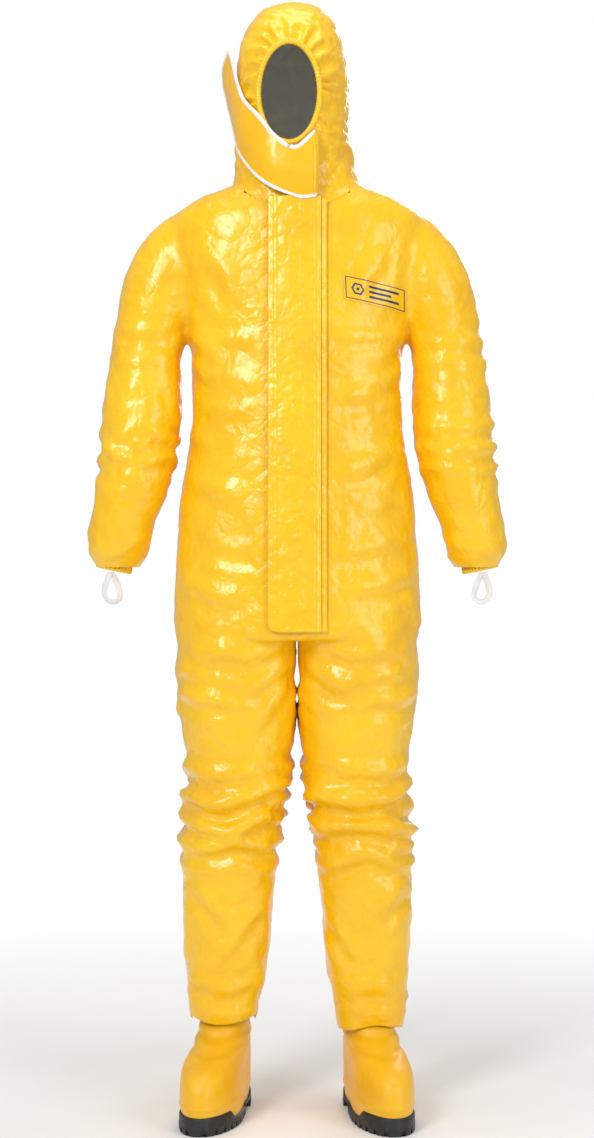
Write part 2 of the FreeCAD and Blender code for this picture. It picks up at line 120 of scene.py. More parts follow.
def normals_of(obj):
    no = np.empty(len(obj.data.vertices) * 3, np.float32)
    obj.data.vertices.foreach_get("normal", no)
    return no.reshape(-1, 3).astype(float)


def apply_modifiers(obj):
    """Replaces the object's mesh with what its modifiers make of it."""
    dg = bpy.context.evaluated_depsgraph_get()
    dg.update()
    mesh = bpy.data.meshes.new_from_object(obj.evaluated_get(dg), preserve_all_data_layers=True, depsgraph=dg)
    old = obj.data
    obj.modifiers.clear()
    obj.data = mesh
    bpy.data.meshes.remove(old)


def remember_rest(obj):
    """Keeps each point's place at rest, which the materials read, so they stay put in every pose."""
    attribute = obj.data.attributes.get("rest") or obj.data.attributes.new("rest", "FLOAT_VECTOR", "POINT")
    attribute.data.foreach_set("vector", points_of(obj).astype(np.float32).ravel())


def smooth(obj):
    obj.data.polygons.foreach_set("use_smooth", [True] * len(obj.data.polygons))
    obj.data.update()


def unit(v):
    return v / np.maximum(np.linalg.norm(v, axis=-1, keepdims=True), 1e-9)


def smoothstep(t):
    t = np.clip(t, 0, 1)
    return t * t * (3 - 2 * t)


def bump(x, middle, width):
    """Bell curve of height 1."""
    return np.exp(-((x - middle) / width) ** 2)


def turns(count):
    """Equal angles once round."""
    return np.linspace(0, 2 * np.pi, count, endpoint=False)


def tree_of(verts, faces):
    """Search tree for the nearest points and the ray hits on a surface."""
    return BVHTree.FromPolygons([tuple(v) for v in verts], faces)


def outward_normals(obj):
    """Turns the faces of a closed mesh outwards."""
    bm = bmesh.new()
    bm.from_mesh(obj.data)
    bmesh.ops.recalc_face_normals(bm, faces=bm.faces)
    bm.to_mesh(obj.data)
    bm.free()


def face_away(obj, centre):
    """Turns an open surface away from a point, and returns its normals."""
    no = normals_of(obj)
    if ((points_of(obj) - centre) * no).sum(1).mean() < 0:
        obj.data.flip_normals()
        no = -no
    return no


def thicken(obj, thickness, outside, inside, offset=-1):
    """Gives a sheet its wall, the materials of its two sides and its rest places."""
    obj.data.materials.append(outside)
    obj.data.materials.append(inside)
    wall = obj.modifiers.new("wall", "SOLIDIFY")
    wall.thickness = thickness
    wall.offset = offset
    wall.material_offset = 1
    apply_modifiers(obj)
    smooth(obj)
    remember_rest(obj)


def dress(piece, nodes, body=None):
    """Hides the CAD nodes that a piece replaces and, when a body is given, attaches the piece to that body.
    """
    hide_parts(*nodes)
    if body:
        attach(piece, body)


def ring(cx, cy, z, a, front, back, power, count):
    """A level outline, boxier where power is above 2, with its own depth front and back."""
    angle = turns(count)
    c, s = np.cos(angle), np.sin(angle)
    x = np.sign(c) * np.abs(c) ** (2 / power) * a
    y = np.sign(s) * np.abs(s) ** (2 / power)
    y = np.where(y < 0, y * front, y * back)
    return np.stack([cx + x, cy + y, np.full(count, z)], 1)


def closed_tube(rings):
    """Vertices and faces of a capped tube through equal rings."""
    count = len(rings[0])
    verts = np.concatenate(rings)
    faces = grid_faces(len(rings), count, wrap=True)
    faces.append(tuple(reversed(range(count))))
    faces.append(tuple(range((len(rings) - 1) * count, len(rings) * count)))
    return verts, faces


def spline(stations, steps):
    """Smooth rows through station rows by Catmull-Rom, steps to each span."""
    rows = np.array(stations, float)
    padded = np.vstack([2 * rows[0] - rows[1], rows, 2 * rows[-1] - rows[-2]])
    out = []
    for i in range(len(rows) - 1):
        p0, p1, p2, p3 = padded[i:i + 4]
        for k in range(steps):
            t = k / steps
            out.append(0.5 * (2 * p1 + (p2 - p0) * t + (2 * p0 - 5 * p1 + 4 * p2 - p3) * t * t
                              + (3 * p1 - p0 - 3 * p2 + p3) * t ** 3))
    out.append(rows[-1])
    return np.array(out)


# ---------------------------------------------------------------- noise for folds and creases
def hash_cells(cells, seed):
    """Three repeatable random numbers from 0 to 1 for each whole-numbered cell."""
    c = cells.astype(np.int64)
    n = c[:, 0] * 73856093 ^ c[:, 1] * 19349663 ^ c[:, 2] * 83492791 ^ (seed * 2654435761)
    out = np.empty((len(c), 3))
    for k in range(3):
        n = (n ^ (n >> 13)) * 1274126177
        n = n & 0x7FFFFFFF
        out[:, k] = (n % 100003) / 100003.0
    return out


def value_noise(p, seed):
    """Smooth random field between -1 and 1."""
    base = np.floor(p)
    f = p - base
    f = f * f * (3 - 2 * f)
    total = np.zeros(len(p))
    for dx in (0, 1):
        for dy in (0, 1):
            for dz in (0, 1):
                corner = hash_cells(base + (dx, dy, dz), seed)[:, 0]
                w = (f[:, 0] if dx else 1 - f[:, 0]) * (f[:, 1] if dy else 1 - f[:, 1])
                total += corner * w * (f[:, 2] if dz else 1 - f[:, 2])
    return total * 2 - 1


def crease_cells(p, seed):
    """Distance to the second nearest of scattered points less the nearest: flat-sided facets
    that meet in sharp valleys, like crumpled film."""
    base = np.floor(p)
    near = np.full(len(p), 9.0)
    second = np.full(len(p), 9.0)
    for dx in (-1, 0, 1):
        for dy in (-1, 0, 1):
            for dz in (-1, 0, 1):
                cell = base + (dx, dy, dz)
                d = np.linalg.norm(cell + hash_cells(cell, seed) - p, axis=1)
                closer = d < near
                second = np.where(closer, near, np.minimum(second, d))
                near = np.where(closer, d, near)
    return second - near


def warped(p, scale, amount, seed):
    """Positions divided by a scale and pushed about by noise, so that creases wander."""
    q = p / scale
    shift = np.stack([value_noise(q * 0.7 + 31 * k, seed + k) for k in range(3)], 1)
    return q + shift * amount


def film(p, scale, amount, seed):
    """Crumpled film: facets a little above and valleys a little below zero."""
    return crease_cells(warped(p, scale, amount, seed), seed + 2) - 0.3


def wavy(p, scale, amount, seed):
    """Soft waves that wander."""
    return value_noise(warped(p, scale, amount, seed), seed + 2)


# ---------------------------------------------------------------- the coverall's smooth form
ROUND = 72


def front_line(z):
    """The straight front of the trunk, as in the CAD: ahead of the wearer's middle."""
    return 0.096 + (NECK_Z - z) * 0.05


# height, half width, back of the trunk behind the wearer's middle
TRUNK = (
    (1.575, 0.082, 0.085), (1.552, 0.093, 0.090), (1.536, 0.118, 0.096), (1.521, 0.158, 0.102),
    (1.490, 0.205, 0.116), (1.445, 0.214, 0.128), (1.390, 0.203, 0.136), (1.320, 0.183, 0.140),
    (1.250, 0.175, 0.140), (1.180, 0.174, 0.134), (1.120, 0.178, 0.131), (1.050, 0.190, 0.130),
    (0.980, 0.198, 0.135), (0.900, 0.204, 0.141), (0.830, 0.206, 0.142), (0.790, 0.203, 0.140),
)
# height, middle x, half width, front and back from the wearer's middle
LEG = (
    (0.870, 0.085, 0.085, 0.112, 0.122), (0.800, 0.104, 0.092, 0.120, 0.126),
    (0.735, 0.108, 0.096, 0.114, 0.120), (0.660, 0.105, 0.092, 0.104, 0.112),
    (0.590, 0.101, 0.086, 0.097, 0.104), (0.520, 0.103, 0.088, 0.094, 0.102),
    (0.455, 0.112, 0.084, 0.085, 0.100), (0.390, 0.113, 0.079, 0.076, 0.099),
    (0.320, 0.117, 0.074, 0.067, 0.096), (0.250, 0.118, 0.070, 0.060, 0.089),
    (0.190, 0.122, 0.061, 0.052, 0.080), (HEM_Z - 0.006, 0.123, 0.055, 0.048, 0.076),
)
# middle x, y behind the shoulder's, height, radius of the arm's outline
ARM = (
    (0.140, 0.000, 1.480, 0.042), (0.186, 0.000, 1.440, 0.060), (0.222, 0.000, 1.382, 0.066),
    (0.243, -0.002, 1.310, 0.061), (0.252, -0.004, 1.254, 0.061), (0.257, -0.008, 1.188, 0.066),
    (0.262, -0.012, 1.121, 0.067), (0.271, -0.014, 1.062, 0.063), (0.281, -0.016, 1.021, 0.057),
    (0.291, -0.013, 0.985, 0.053), (0.2965, -0.009, 0.956, 0.0525), (0.3005, -0.004, 0.930, 0.049),
    (0.3035, -0.001, 0.915, 0.040), (0.3055, 0.000, 0.902, 0.030),
)


def body_rings():
    rings = []
    for z, half, back in spline(TRUNK, 4)[::-1]:
        front = front_line(z) - 0.010 * math.exp(-((z - NECK_Z) / 0.03) ** 2)
        rings.append(ring(0, BODY_Y, z, half, front, back, 2.4, ROUND))
    return rings


def leg_rings(side):
    rings = []
    for z, cx, half, front, back in spline(LEG, 4)[::-1]:
        rings.append(ring(side * cx, BODY_Y, z, half, front, back, 2.2, ROUND))
    return rings


def arm_rings(side):
    rings = []
    rows = spline(ARM, 4)
    middles = np.stack([side * rows[:, 0], SHOULDER.y + rows[:, 1], rows[:, 2]], 1)
    for i, (middle, row) in enumerate(zip(middles, rows)):
        along = middles[min(i + 1, len(rows) - 1)] - middles[max(i - 1, 0)]
        along /= np.linalg.norm(along)
        across = np.cross((0, 1, 0), along)
        across /= np.linalg.norm(across)
        angle = turns(ROUND)
        r = row[3]
        rings.append(middle + np.outer(np.cos(angle), across) * r + np.outer(np.sin(angle), (0, 1, 0)) * r)
    return rings


VOXEL = 0.0068
# the neck's opening: height at its front, slope towards the back, lowest height and half width
NECK_CUT_Z, NECK_CUT_SLOPE, NECK_CUT_LOW, NECK_CUT_HALF = 1.513, 0.23, 1.49, 0.086


def coverall_form():
    """Trunk, legs and arms as one even quad skin, open at the neck, cuffs and hems."""
    verts, faces = [], []
    count = 0
    for rings in (body_rings(), leg_rings(1), leg_rings(-1), arm_rings(1), arm_rings(-1)):
        v, f = closed_tube(rings)
        verts.append(v)
        faces.extend([tuple(i + count for i in face) for face in f])
        count += len(v)
    obj = link("coverall", np.concatenate(verts), faces)
    remesh = obj.modifiers.new("remesh", "REMESH")
    remesh.mode = "VOXEL"
    remesh.voxel_size = VOXEL
    soften = obj.modifiers.new("soften", "SMOOTH")
    soften.factor = 0.5
    soften.iterations = 12
    apply_modifiers(obj)
    bm = bmesh.new()
    bm.from_mesh(obj.data)
    gone = []
    for face in bm.faces:
        c = face.calc_center_median()
        above = c.z > NECK_CUT_Z + NECK_CUT_SLOPE * (c.y - BODY_Y + 0.10) and c.z > NECK_CUT_LOW
        neck = above and abs(c.x) < NECK_CUT_HALF
        hem = c.z < HEM_Z + 0.001
        cuff = c.z < CUFF_Z + 0.0005 and abs(c.x) > SLEEVE_X
        if neck or hem or cuff:
            gone.append(face)
    bmesh.ops.delete(bm, geom=gone, context="FACES")
    # the cut ends are straight, so each loose edge point goes to its hem's or cuff's height
    for v in bm.verts:
        if v.is_boundary and v.co.z < HEM_Z + 0.02:
            v.co.z = HEM_Z
        elif v.is_boundary and abs(v.co.x) > SLEEVE_X and v.co.z < CUFF_Z + 0.022:
            v.co.z = CUFF_Z
    bm.to_mesh(obj.data)
    bm.free()
    obj.data.update()
    return obj


def settle(obj):
    """Brings the thighs close together, which the skin had to be made clear of, and lets the
    hems dip unevenly."""
    co = points_of(obj)
    x, z = co[:, 0], co[:, 2]
    side = np.sign(x)
    inner = smoothstep((0.10 - np.abs(x)) / 0.09)
    thigh = smoothstep((0.815 - z) / 0.02) * smoothstep((z - 0.47) / 0.17)
    high = smoothstep((z - 0.60) / 0.12)
    reach = np.minimum(0.0095 + 0.0075 * high, np.maximum(np.abs(x) - 0.0012, 0) * 0.93)
    co[:, 0] -= side * inner * thigh * reach
    low = smoothstep((0.24 - z) / 0.09) * (np.abs(x) < 0.23)
    right_dip = 0.006 * np.cos((x + 0.127) / 0.060 * math.pi)
    left_dip = -0.012 + 0.007 * np.cos((x - 0.133) / 0.060 * math.pi)
    dip = np.where(x < 0, right_dip, left_dip)
    toward = np.where(co[:, 1] < BODY_Y, 1.0, -0.6)
    co[:, 2] += low * np.where(x < 0, -dip * toward, dip * toward - 0.002) * 0.8
    set_points(obj, co)


coverall = coverall_form()
settle(coverall)


# ---------------------------------------------------------------- slack cloth
ARMPIT = Vector((0.190, SHOULDER.y, 1.300))
NECK_SIDE = Vector((0.112, SHOULDER.y, 1.520))


def armhole_distance(p):
    """How far out a point lies from the armhole seam, which runs from the armpit to the neck."""
    nx, nz = NECK_SIDE.z - ARMPIT.z, ARMPIT.x - NECK_SIDE.x
    size = math.hypot(nx, nz)
    return ((np.abs(p[:, 0]) - ARMPIT.x) * nx + (p[:, 2] - ARMPIT.z) * nz) / size


def is_arm(p):
    """True for points of the two sleeves."""
    out = armhole_distance(p) > 0
    below = p[:, 2] < ARMPIT.z + 0.02
    middle = np.interp(p[:, 2], [0.90, 1.0, 1.12, 1.25, 1.32], [0.235, 0.207, 0.1855, 0.183, 0.187])
    return np.where(below, np.abs(p[:, 0]) > middle, out)


# middle height, spread and share of spare length
LEG_SLACK = ((0.50, 0.070, 0.30), (0.70, 0.07, 0.10), (0.34, 0.14, 0.07), (0.20, 0.04, 0.06))
TRUNK_SLACK = ((1.30, 0.09, 0.05), (1.05, 0.18, 0.05), (0.86, 0.06, 0.07))
ARM_SLACK = ((1.10, 0.045, 0.17), (0.95, 0.025, 0.12), (1.28, 0.045, 0.10), (1.0, 0.04, 0.03))


def cut_lengths(co, pairs):
    """Length each edge was cut to: the cloth has spare length up and down at the bends, and a
    little all round."""
    a, b = co[pairs[:, 0]], co[pairs[:, 1]]
    middle = (a + b) / 2
    z = middle[:, 2]
    arm = is_arm(middle)
    tall = np.where(arm, sum(m * bump(z, c, w) for c, w, m in ARM_SLACK),
                    sum(m * bump(z, c, w) for c, w, m in LEG_SLACK + TRUNK_SLACK))
    patches = value_noise(middle / 0.11, 21)
    tall = (tall + 0.012) * (1 + 0.7 * patches)
    wide = np.where(arm, 0.035, np.where(z < 0.80, 0.040, 0.028)) * (1 - 0.7 * patches)
    d = b - a
    return np.sqrt((d[:, 0] ** 2 + d[:, 1] ** 2) * (1 + wide) ** 2 + (d[:, 2] * (1 + tall)) ** 2)


def edges_of(obj):
    """Edges and face diagonals as two arrays of vertex pairs."""
    mesh = obj.data
    sides = np.empty(len(mesh.edges) * 2, np.int32)
    mesh.edges.foreach_get("vertices", sides)
    crossings = []
    for face in mesh.polygons:
        v = face.vertices
        if len(v) == 4:
            crossings.append((v[0], v[2]))
            crossings.append((v[1], v[3]))
    return sides.reshape(-1, 2), np.array(crossings, np.int32)


def mean_of_neighbours(x, sides, counts):
    i, j = sides[:, 0], sides[:, 1]
    total = np.stack([np.bincount(i, x[j, a], len(x)) + np.bincount(j, x[i, a], len(x)) for a in range(3)], 1)
    return total / counts[:, None]


OVERSHOOT = 1.9              # edges are corrected past their length, which settles sooner
DIAGONAL_SHARE = 0.6


def buckle(start, home, out, sides, crossings, pull, rounds, low, high):
    """Cloth solver: every edge seeks the length it was cut to, against a soft pull home and
    some stiffness in bending, so spare length buckles into folds."""
    pairs = np.concatenate([sides, crossings])
    i, j = pairs[:, 0], pairs[:, 1]
    rest = cut_lengths(home, pairs)
    share = np.concatenate([np.ones(len(sides)), np.full(len(crossings), DIAGONAL_SHARE)]) * 0.5
    counts = np.maximum(np.bincount(pairs.ravel(), minlength=len(start)), 1)
    side_counts = np.maximum(np.bincount(sides.ravel(), minlength=len(start)), 1)
    x = start.copy()
    for k in range(rounds):
        t = k / rounds
        for _ in range(2):
            d = x[j] - x[i]
            size = np.maximum(np.linalg.norm(d, axis=1), 1e-9)
            push = d * ((size - rest) / size * share)[:, None]
            move = np.stack([np.bincount(i, push[:, a], len(x)) - np.bincount(j, push[:, a], len(x))
                             for a in range(3)], 1)
            x += move / counts[:, None] * OVERSHOOT
        bend = mean_of_neighbours(x, sides, side_counts) - x
        x -= (mean_of_neighbours(bend, sides, side_counts) - bend) * (0.38 * (1 - t) + 0.06)
        x += (home - x) * pull[:, None]
        if k % 5 == 4:
            height = ((x - home) * out).sum(1)
            x += out * (np.clip(height, low, high) - height)[:, None]
    return x


def liveliness(z, arm):
    """How strongly the cloth is crumpled at each height: most at knees, elbows and hips."""
    on_arm = 0.42 + 0.75 * bump(z, 1.10, 0.055) + 0.4 * bump(z, 0.95, 0.04) + 0.45 * bump(z, 1.28, 0.05)
    on_body = 0.36 + 1.1 * bump(z, 0.50, 0.075) + 0.40 * bump(z, 0.72, 0.06) + 0.2 * bump(z, 0.95, 0.10) \
        + 0.2 * bump(z, 0.25, 0.07)
    return np.where(arm, on_arm, on_body)


# folds put in one by one, as seen from the front: height, width, then x and z along the fold
FRONT_FOLDS = (
    (0.010, 0.013, -0.200, 0.540, -0.135, 0.520, -0.040, 0.547),
    (0.009, 0.012, -0.196, 0.495, -0.110, 0.476, -0.034, 0.507),
    (0.009, 0.012, -0.188, 0.443, -0.093, 0.464, -0.028, 0.435),
    (0.006, 0.012, -0.195, 0.585, -0.120, 0.566, -0.060, 0.580),
    (0.005, 0.014, -0.177, 0.392, -0.130, 0.350, -0.093, 0.300),
    (0.004, 0.012, -0.068, 0.353, -0.135, 0.253),
    (0.007, 0.014, -0.004, 0.795, -0.075, 0.762, -0.165, 0.775),
    (0.006, 0.012, -0.010, 0.765, -0.050, 0.725, -0.085, 0.700),
    (0.005, 0.012, -0.012, 0.740, -0.050, 0.672, -0.085, 0.640),
    (0.007, 0.013, -0.206, 0.712, -0.150, 0.694, -0.095, 0.688),
    (0.005, 0.012, -0.206, 0.742, -0.150, 0.735),
    (0.010, 0.013, 0.013, 0.540, 0.090, 0.518, 0.186, 0.548),
    (0.009, 0.012, 0.022, 0.468, 0.107, 0.495, 0.190, 0.455),
    (0.008, 0.012, 0.037, 0.412, 0.115, 0.437, 0.186, 0.418),
    (0.006, 0.012, 0.060, 0.585, 0.130, 0.572, 0.195, 0.590),
    (0.005, 0.014, 0.180, 0.385, 0.120, 0.330),
    (0.004, 0.012, 0.060, 0.330, 0.110, 0.250),
    (0.007, 0.014, 0.004, 0.790, 0.090, 0.762, 0.175, 0.778),
    (0.006, 0.012, 0.010, 0.765, 0.060, 0.715, 0.095, 0.700),
    (0.006, 0.013, 0.205, 0.708, 0.150, 0.690, 0.100, 0.695),
    (0.0045, 0.006, -0.184, 1.279, -0.120, 1.277, -0.050, 1.280),
    (0.0045, 0.006, 0.050, 1.284, 0.120, 1.282, 0.182, 1.285),
    (0.006, 0.012, -0.180, 1.305, -0.155, 1.268, -0.125, 1.240),
    (0.005, 0.012, -0.184, 1.255, -0.150, 1.225, -0.110, 1.215),
    (0.006, 0.012, 0.180, 1.310, 0.155, 1.270, 0.125, 1.245),
    (0.005, 0.012, 0.184, 1.250, 0.150, 1.220, 0.110, 1.208),
    (0.005, 0.014, -0.190, 1.060, -0.140, 1.035, -0.090, 1.020),
    (0.004, 0.013, -0.190, 1.130, -0.130, 1.112),
    (0.004, 0.013, -0.170, 0.965, -0.110, 0.945, -0.060, 0.940),
    (0.005, 0.014, 0.060, 1.065, 0.120, 1.078, 0.185, 1.105),
    (0.004, 0.013, 0.065, 0.930, 0.130, 0.940, 0.190, 0.968),
    (0.005, 0.013, -0.200, 0.885, -0.140, 0.865, -0.080, 0.862),
    (0.005, 0.013, 0.080, 0.868, 0.140, 0.878, 0.200, 0.905),
    (0.004, 0.012, 0.060, 1.180, 0.120, 1.190, 0.170, 1.175),
    (0.004, 0.012, -0.170, 1.180, -0.110, 1.165, -0.060, 1.172),
    (0.005, 0.015, -0.150, 1.430, -0.110, 1.380, -0.090, 1.330),
    (0.005, 0.015, 0.150, 1.435, 0.112, 1.385, 0.095, 1.335),
    (0.004, 0.012, -0.175, 0.225, -0.120, 0.205, -0.075, 0.215),
    (0.004, 0.012, 0.070, 0.210, 0.125, 0.222, 0.175, 0.205),
)
BACK_FOLDS = (
    (0.009, 0.013, -0.190, 0.545, -0.110, 0.520, -0.040, 0.540),
    (0.009, 0.013, -0.188, 0.500, -0.110, 0.520, -0.036, 0.492),
    (0.008, 0.012, -0.185, 0.452, -0.110, 0.440, -0.040, 0.455),
    (0.009, 0.013, 0.190, 0.540, 0.110, 0.515, 0.040, 0.538),
    (0.009, 0.013, 0.188, 0.505, 0.110, 0.485, 0.036, 0.500),
    (0.008, 0.012, 0.185, 0.445, 0.110, 0.460, 0.040, 0.440),
    (0.007, 0.014, -0.190, 0.760, -0.110, 0.735, -0.020, 0.765),
    (0.007, 0.014, 0.190, 0.755, 0.110, 0.738, 0.020, 0.765),
    (0.006, 0.013, -0.150, 0.800, -0.080, 0.812, -0.010, 0.800),
    (0.006, 0.013, 0.150, 0.808, 0.080, 0.800, 0.010, 0.805),
    (0.006, 0.015, -0.170, 1.060, -0.060, 1.035, 0.050, 1.045, 0.160, 1.070),
    (0.005, 0.014, -0.150, 1.110, -0.040, 1.095, 0.090, 1.105),
    (0.005, 0.014, -0.120, 1.000, 0.000, 0.985, 0.130, 1.005),
    (0.005, 0.015, -0.170, 1.330, -0.110, 1.360, -0.060, 1.420),
    (0.005, 0.015, 0.170, 1.335, 0.110, 1.370, 0.060, 1.430),
    (0.005, 0.014, -0.170, 1.240, -0.090, 1.225, 0.010, 1.235),
    (0.005, 0.014, 0.170, 1.200, 0.090, 1.215, 0.000, 1.190),
    (0.005, 0.013, -0.170, 0.360, -0.110, 0.330, -0.070, 0.280),
    (0.005, 0.013, 0.170, 0.350, 0.110, 0.320, 0.075, 0.275),
)


def stroke(p, path, height, width):
    """A ridge along a path in the front view, with a hollow under it, fading at both ends."""
    corners = np.array(path).reshape(-1, 2)
    lengths = np.linalg.norm(np.diff(corners, axis=0), axis=1)
    total = lengths.sum()
    best = np.full(len(p), 9.0)
    signed = np.zeros(len(p))
    along = np.zeros(len(p))
    start = 0.0
    for a, b, size in zip(corners[:-1], corners[1:], lengths):
        d = (b - a) / size
        up = np.array((-d[1], d[0])) * (1 if d[0] > 0 else -1)
        rx, rz = p[:, 0] - a[0], p[:, 2] - a[1]
        t = np.clip((rx * d[0] + rz * d[1]) / size, 0, 1)
        qx, qz = rx - t * size * d[0], rz - t * size * d[1]
        far = np.hypot(qx, qz)
        closer = far < best
        best = np.where(closer, far, best)
        signed = np.where(closer, np.sign(qx * up[0] + qz * up[1]) * far, signed)
        along = np.where(closer, (start + t * size) / total, along)
        start += size
    fade = smoothstep(along / 0.22) * smoothstep((1 - along) / 0.3) * (best < 4 * width)
    ridge = bump(signed, 0, width) - 0.75 * bump(signed, -1.5 * width, 0.8 * width)
    return ridge * fade * height


def fold_seed(p, out, arm):
    """First folds: flat facets between creases, drawn out sideways where the cloth is pushed
    together, with smaller ones riding on them."""
    z = p[:, 2]
    strong = liveliness(z, arm)
    tall = 1.0 + 0.9 * np.clip(strong - 0.6, 0, 1)
    turned = p.copy()
    lean = 1.1 * value_noise(p / 0.13, 41)
    turned[:, 2] = z * tall + lean * (p[:, 0] + p[:, 1])
    large = film(turned, 0.100, 0.60, 43)
    middle = film(turned, 0.046, 0.6, 47)
    long_wave = wavy(turned * (0.55, 0.55, 1), 0.085, 0.7, 51)
    calm = 0.55 + 0.45 * value_noise(p / 0.09, 55)
    total = strong * (large * 0.0115 + middle * 0.0042 * calm + long_wave * 0.0042)
    wander = p + np.stack([value_noise(p / 0.05, seed) for seed in (61, 62, 63)], 1) * 0.007
    for folds, facing in ((FRONT_FOLDS, -1), (BACK_FOLDS, 1)):
        toward = smoothstep((facing * out[:, 1] + 0.05) / 0.35) * ~arm
        for height, width, *path in folds:
            total += toward * stroke(wander, path, height * 1.25, width)
    return total


ROUNDS = 60
FOLD_IN, FOLD_OUT = -0.012, 0.016            # how far the cloth may move from its smooth form
FACET_HEIGHT, CRINKLE_HEIGHT = 0.0030, 0.0016


def drape(obj):
    """Lets the slack cloth buckle into folds against a soft pull back to the body's form, then
    adds the film's own creases."""
    home = points_of(obj)
    out = normals_of(obj)
    z = home[:, 2]
    arm = is_arm(home)
    firm = np.full(len(home), 0.006)
    neck = (1 - smoothstep((1.54 - z) / 0.05)) * (np.abs(home[:, 0]) < 0.14)
    hem = (1 - smoothstep((z - HEM_Z) / 0.012)) * ~arm
    cuff = (1 - smoothstep((z - 0.910) / 0.016)) * arm
    middle = 1 - smoothstep((np.abs(home[:, 0] + 0.003) - 0.044) / 0.022)
    strip = middle * (home[:, 1] < BODY_Y - 0.05) * (z > 0.795)
    firm = np.clip(firm + 0.9 * neck + 0.35 * hem + 0.9 * cuff + 0.5 * strip, 0, 1)
    sides, crossings = edges_of(obj)
    seed = fold_seed(home, out, arm)
    start = home + out * (seed * (1 - firm))[:, None]
    x = buckle(start, home, out, sides, crossings, firm, ROUNDS, FOLD_IN, FOLD_OUT)
    kept = obj.data.attributes.new("home", "FLOAT_VECTOR", "POINT")
    kept.data.foreach_set("vector", home.astype(np.float32).ravel())
    set_points(obj, x)
    facets = film(home * (1, 1, 1.15), 0.058, 0.7, 131)
    crinkles = film(home, 0.031, 0.6, 135)
    patchy = 0.75 + 0.5 * value_noise(home / 0.11, 139)
    high = patchy * (facets * FACET_HEIGHT + crinkles * CRINKLE_HEIGHT) * (1 - firm)
    set_points(obj, x + normals_of(obj) * high[:, None])


drape(coverall)
remember_rest(coverall)


# ---------------------------------------------------------------- materials
class Nodes:
    """Short hand for building a node material."""

    def __init__(self, name):
        self.material = bpy.data.materials.new(name)
        self.material.use_nodes = True
        self.tree = self.material.node_tree
        self.tree.nodes.clear()
        self.output = self.add("ShaderNodeOutputMaterial")
        self.shader = self.add("ShaderNodeBsdfPrincipled")
        self.wire(self.shader.outputs[0], self.output.inputs["Surface"])

    def add(self, kind, **values):
        node = self.tree.nodes.new(kind)
        for key, value in values.items():
            setattr(node, key, value)
        return node

    def wire(self, a, b):
        self.tree.links.new(a, b)

    def put(self, **values):
        for key, value in values.items():
            self.shader.inputs[key.replace("_", " ")].default_value = value

    def place(self, turn=(0, 0, 0), stretch=(1, 1, 1)):
        """Rest position of the surface, turned and stretched."""
        where = self.add("ShaderNodeAttribute", attribute_name="rest")
        mapping = self.add("ShaderNodeMapping")
        mapping.inputs["Rotation"].default_value = turn
        mapping.inputs["Scale"].default_value = stretch
        self.wire(where.outputs["Vector"], mapping.inputs["Vector"])
        return mapping.outputs[0]

    def noise(self, place, scale, detail=2.0, rough=0.5, distortion=0.0):
        node = self.add("ShaderNodeTexNoise")
        node.inputs["Scale"].default_value = scale
        node.inputs["Detail"].default_value = detail
        node.inputs["Roughness"].default_value = rough
        node.inputs["Distortion"].default_value = distortion
        self.wire(place, node.inputs["Vector"])
        return node.outputs[0]

    def facets(self, place, scale, feature="F1", randomness=1.0):
        node = self.add("ShaderNodeTexVoronoi", feature=feature)
        node.inputs["Scale"].default_value = scale
        node.inputs["Randomness"].default_value = randomness
        self.wire(place, node.inputs["Vector"])
        return node.outputs["Distance"]

    def math(self, kind, a, b=None, clamp=False):
        node = self.add("ShaderNodeMath", operation=kind, use_clamp=clamp)
        for socket, value in zip(node.inputs, (a, b)):
            if value is None:
                continue
            if isinstance(value, (int, float)):
                socket.default_value = value
            else:
                self.wire(value, socket)
        return node.outputs[0]

    def spread(self, value, low, high, to_low=0.0, to_high=1.0):
        node = self.add("ShaderNodeMapRange")
        self.wire(value, node.inputs["Value"])
        for name, number in (("From Min", low), ("From Max", high), ("To Min", to_low), ("To Max", to_high)):
            node.inputs[name].default_value = number
        return node.outputs[0]

    def shades(self, value, *stops):
        """Colour ramp through (place, colour) stops."""
        node = self.add("ShaderNodeValToRGB")
        ramp = node.color_ramp
        while len(ramp.elements) < len(stops):
            ramp.elements.new(0.5)
        for element, (place, colour) in zip(ramp.elements, stops):
            element.position = place
            element.color = (*colour, 1)
        self.wire(value, node.inputs["Fac"])
        return node.outputs["Color"]

    def bump(self, height, distance, strength=1.0, under=None):
        node = self.add("ShaderNodeBump")
        node.inputs["Strength"].default_value = strength
        node.inputs["Distance"].default_value = distance
        self.wire(height, node.inputs["Height"])
        if under is not None:
            self.wire(under, node.inputs["Normal"])
        return node.outputs["Normal"]


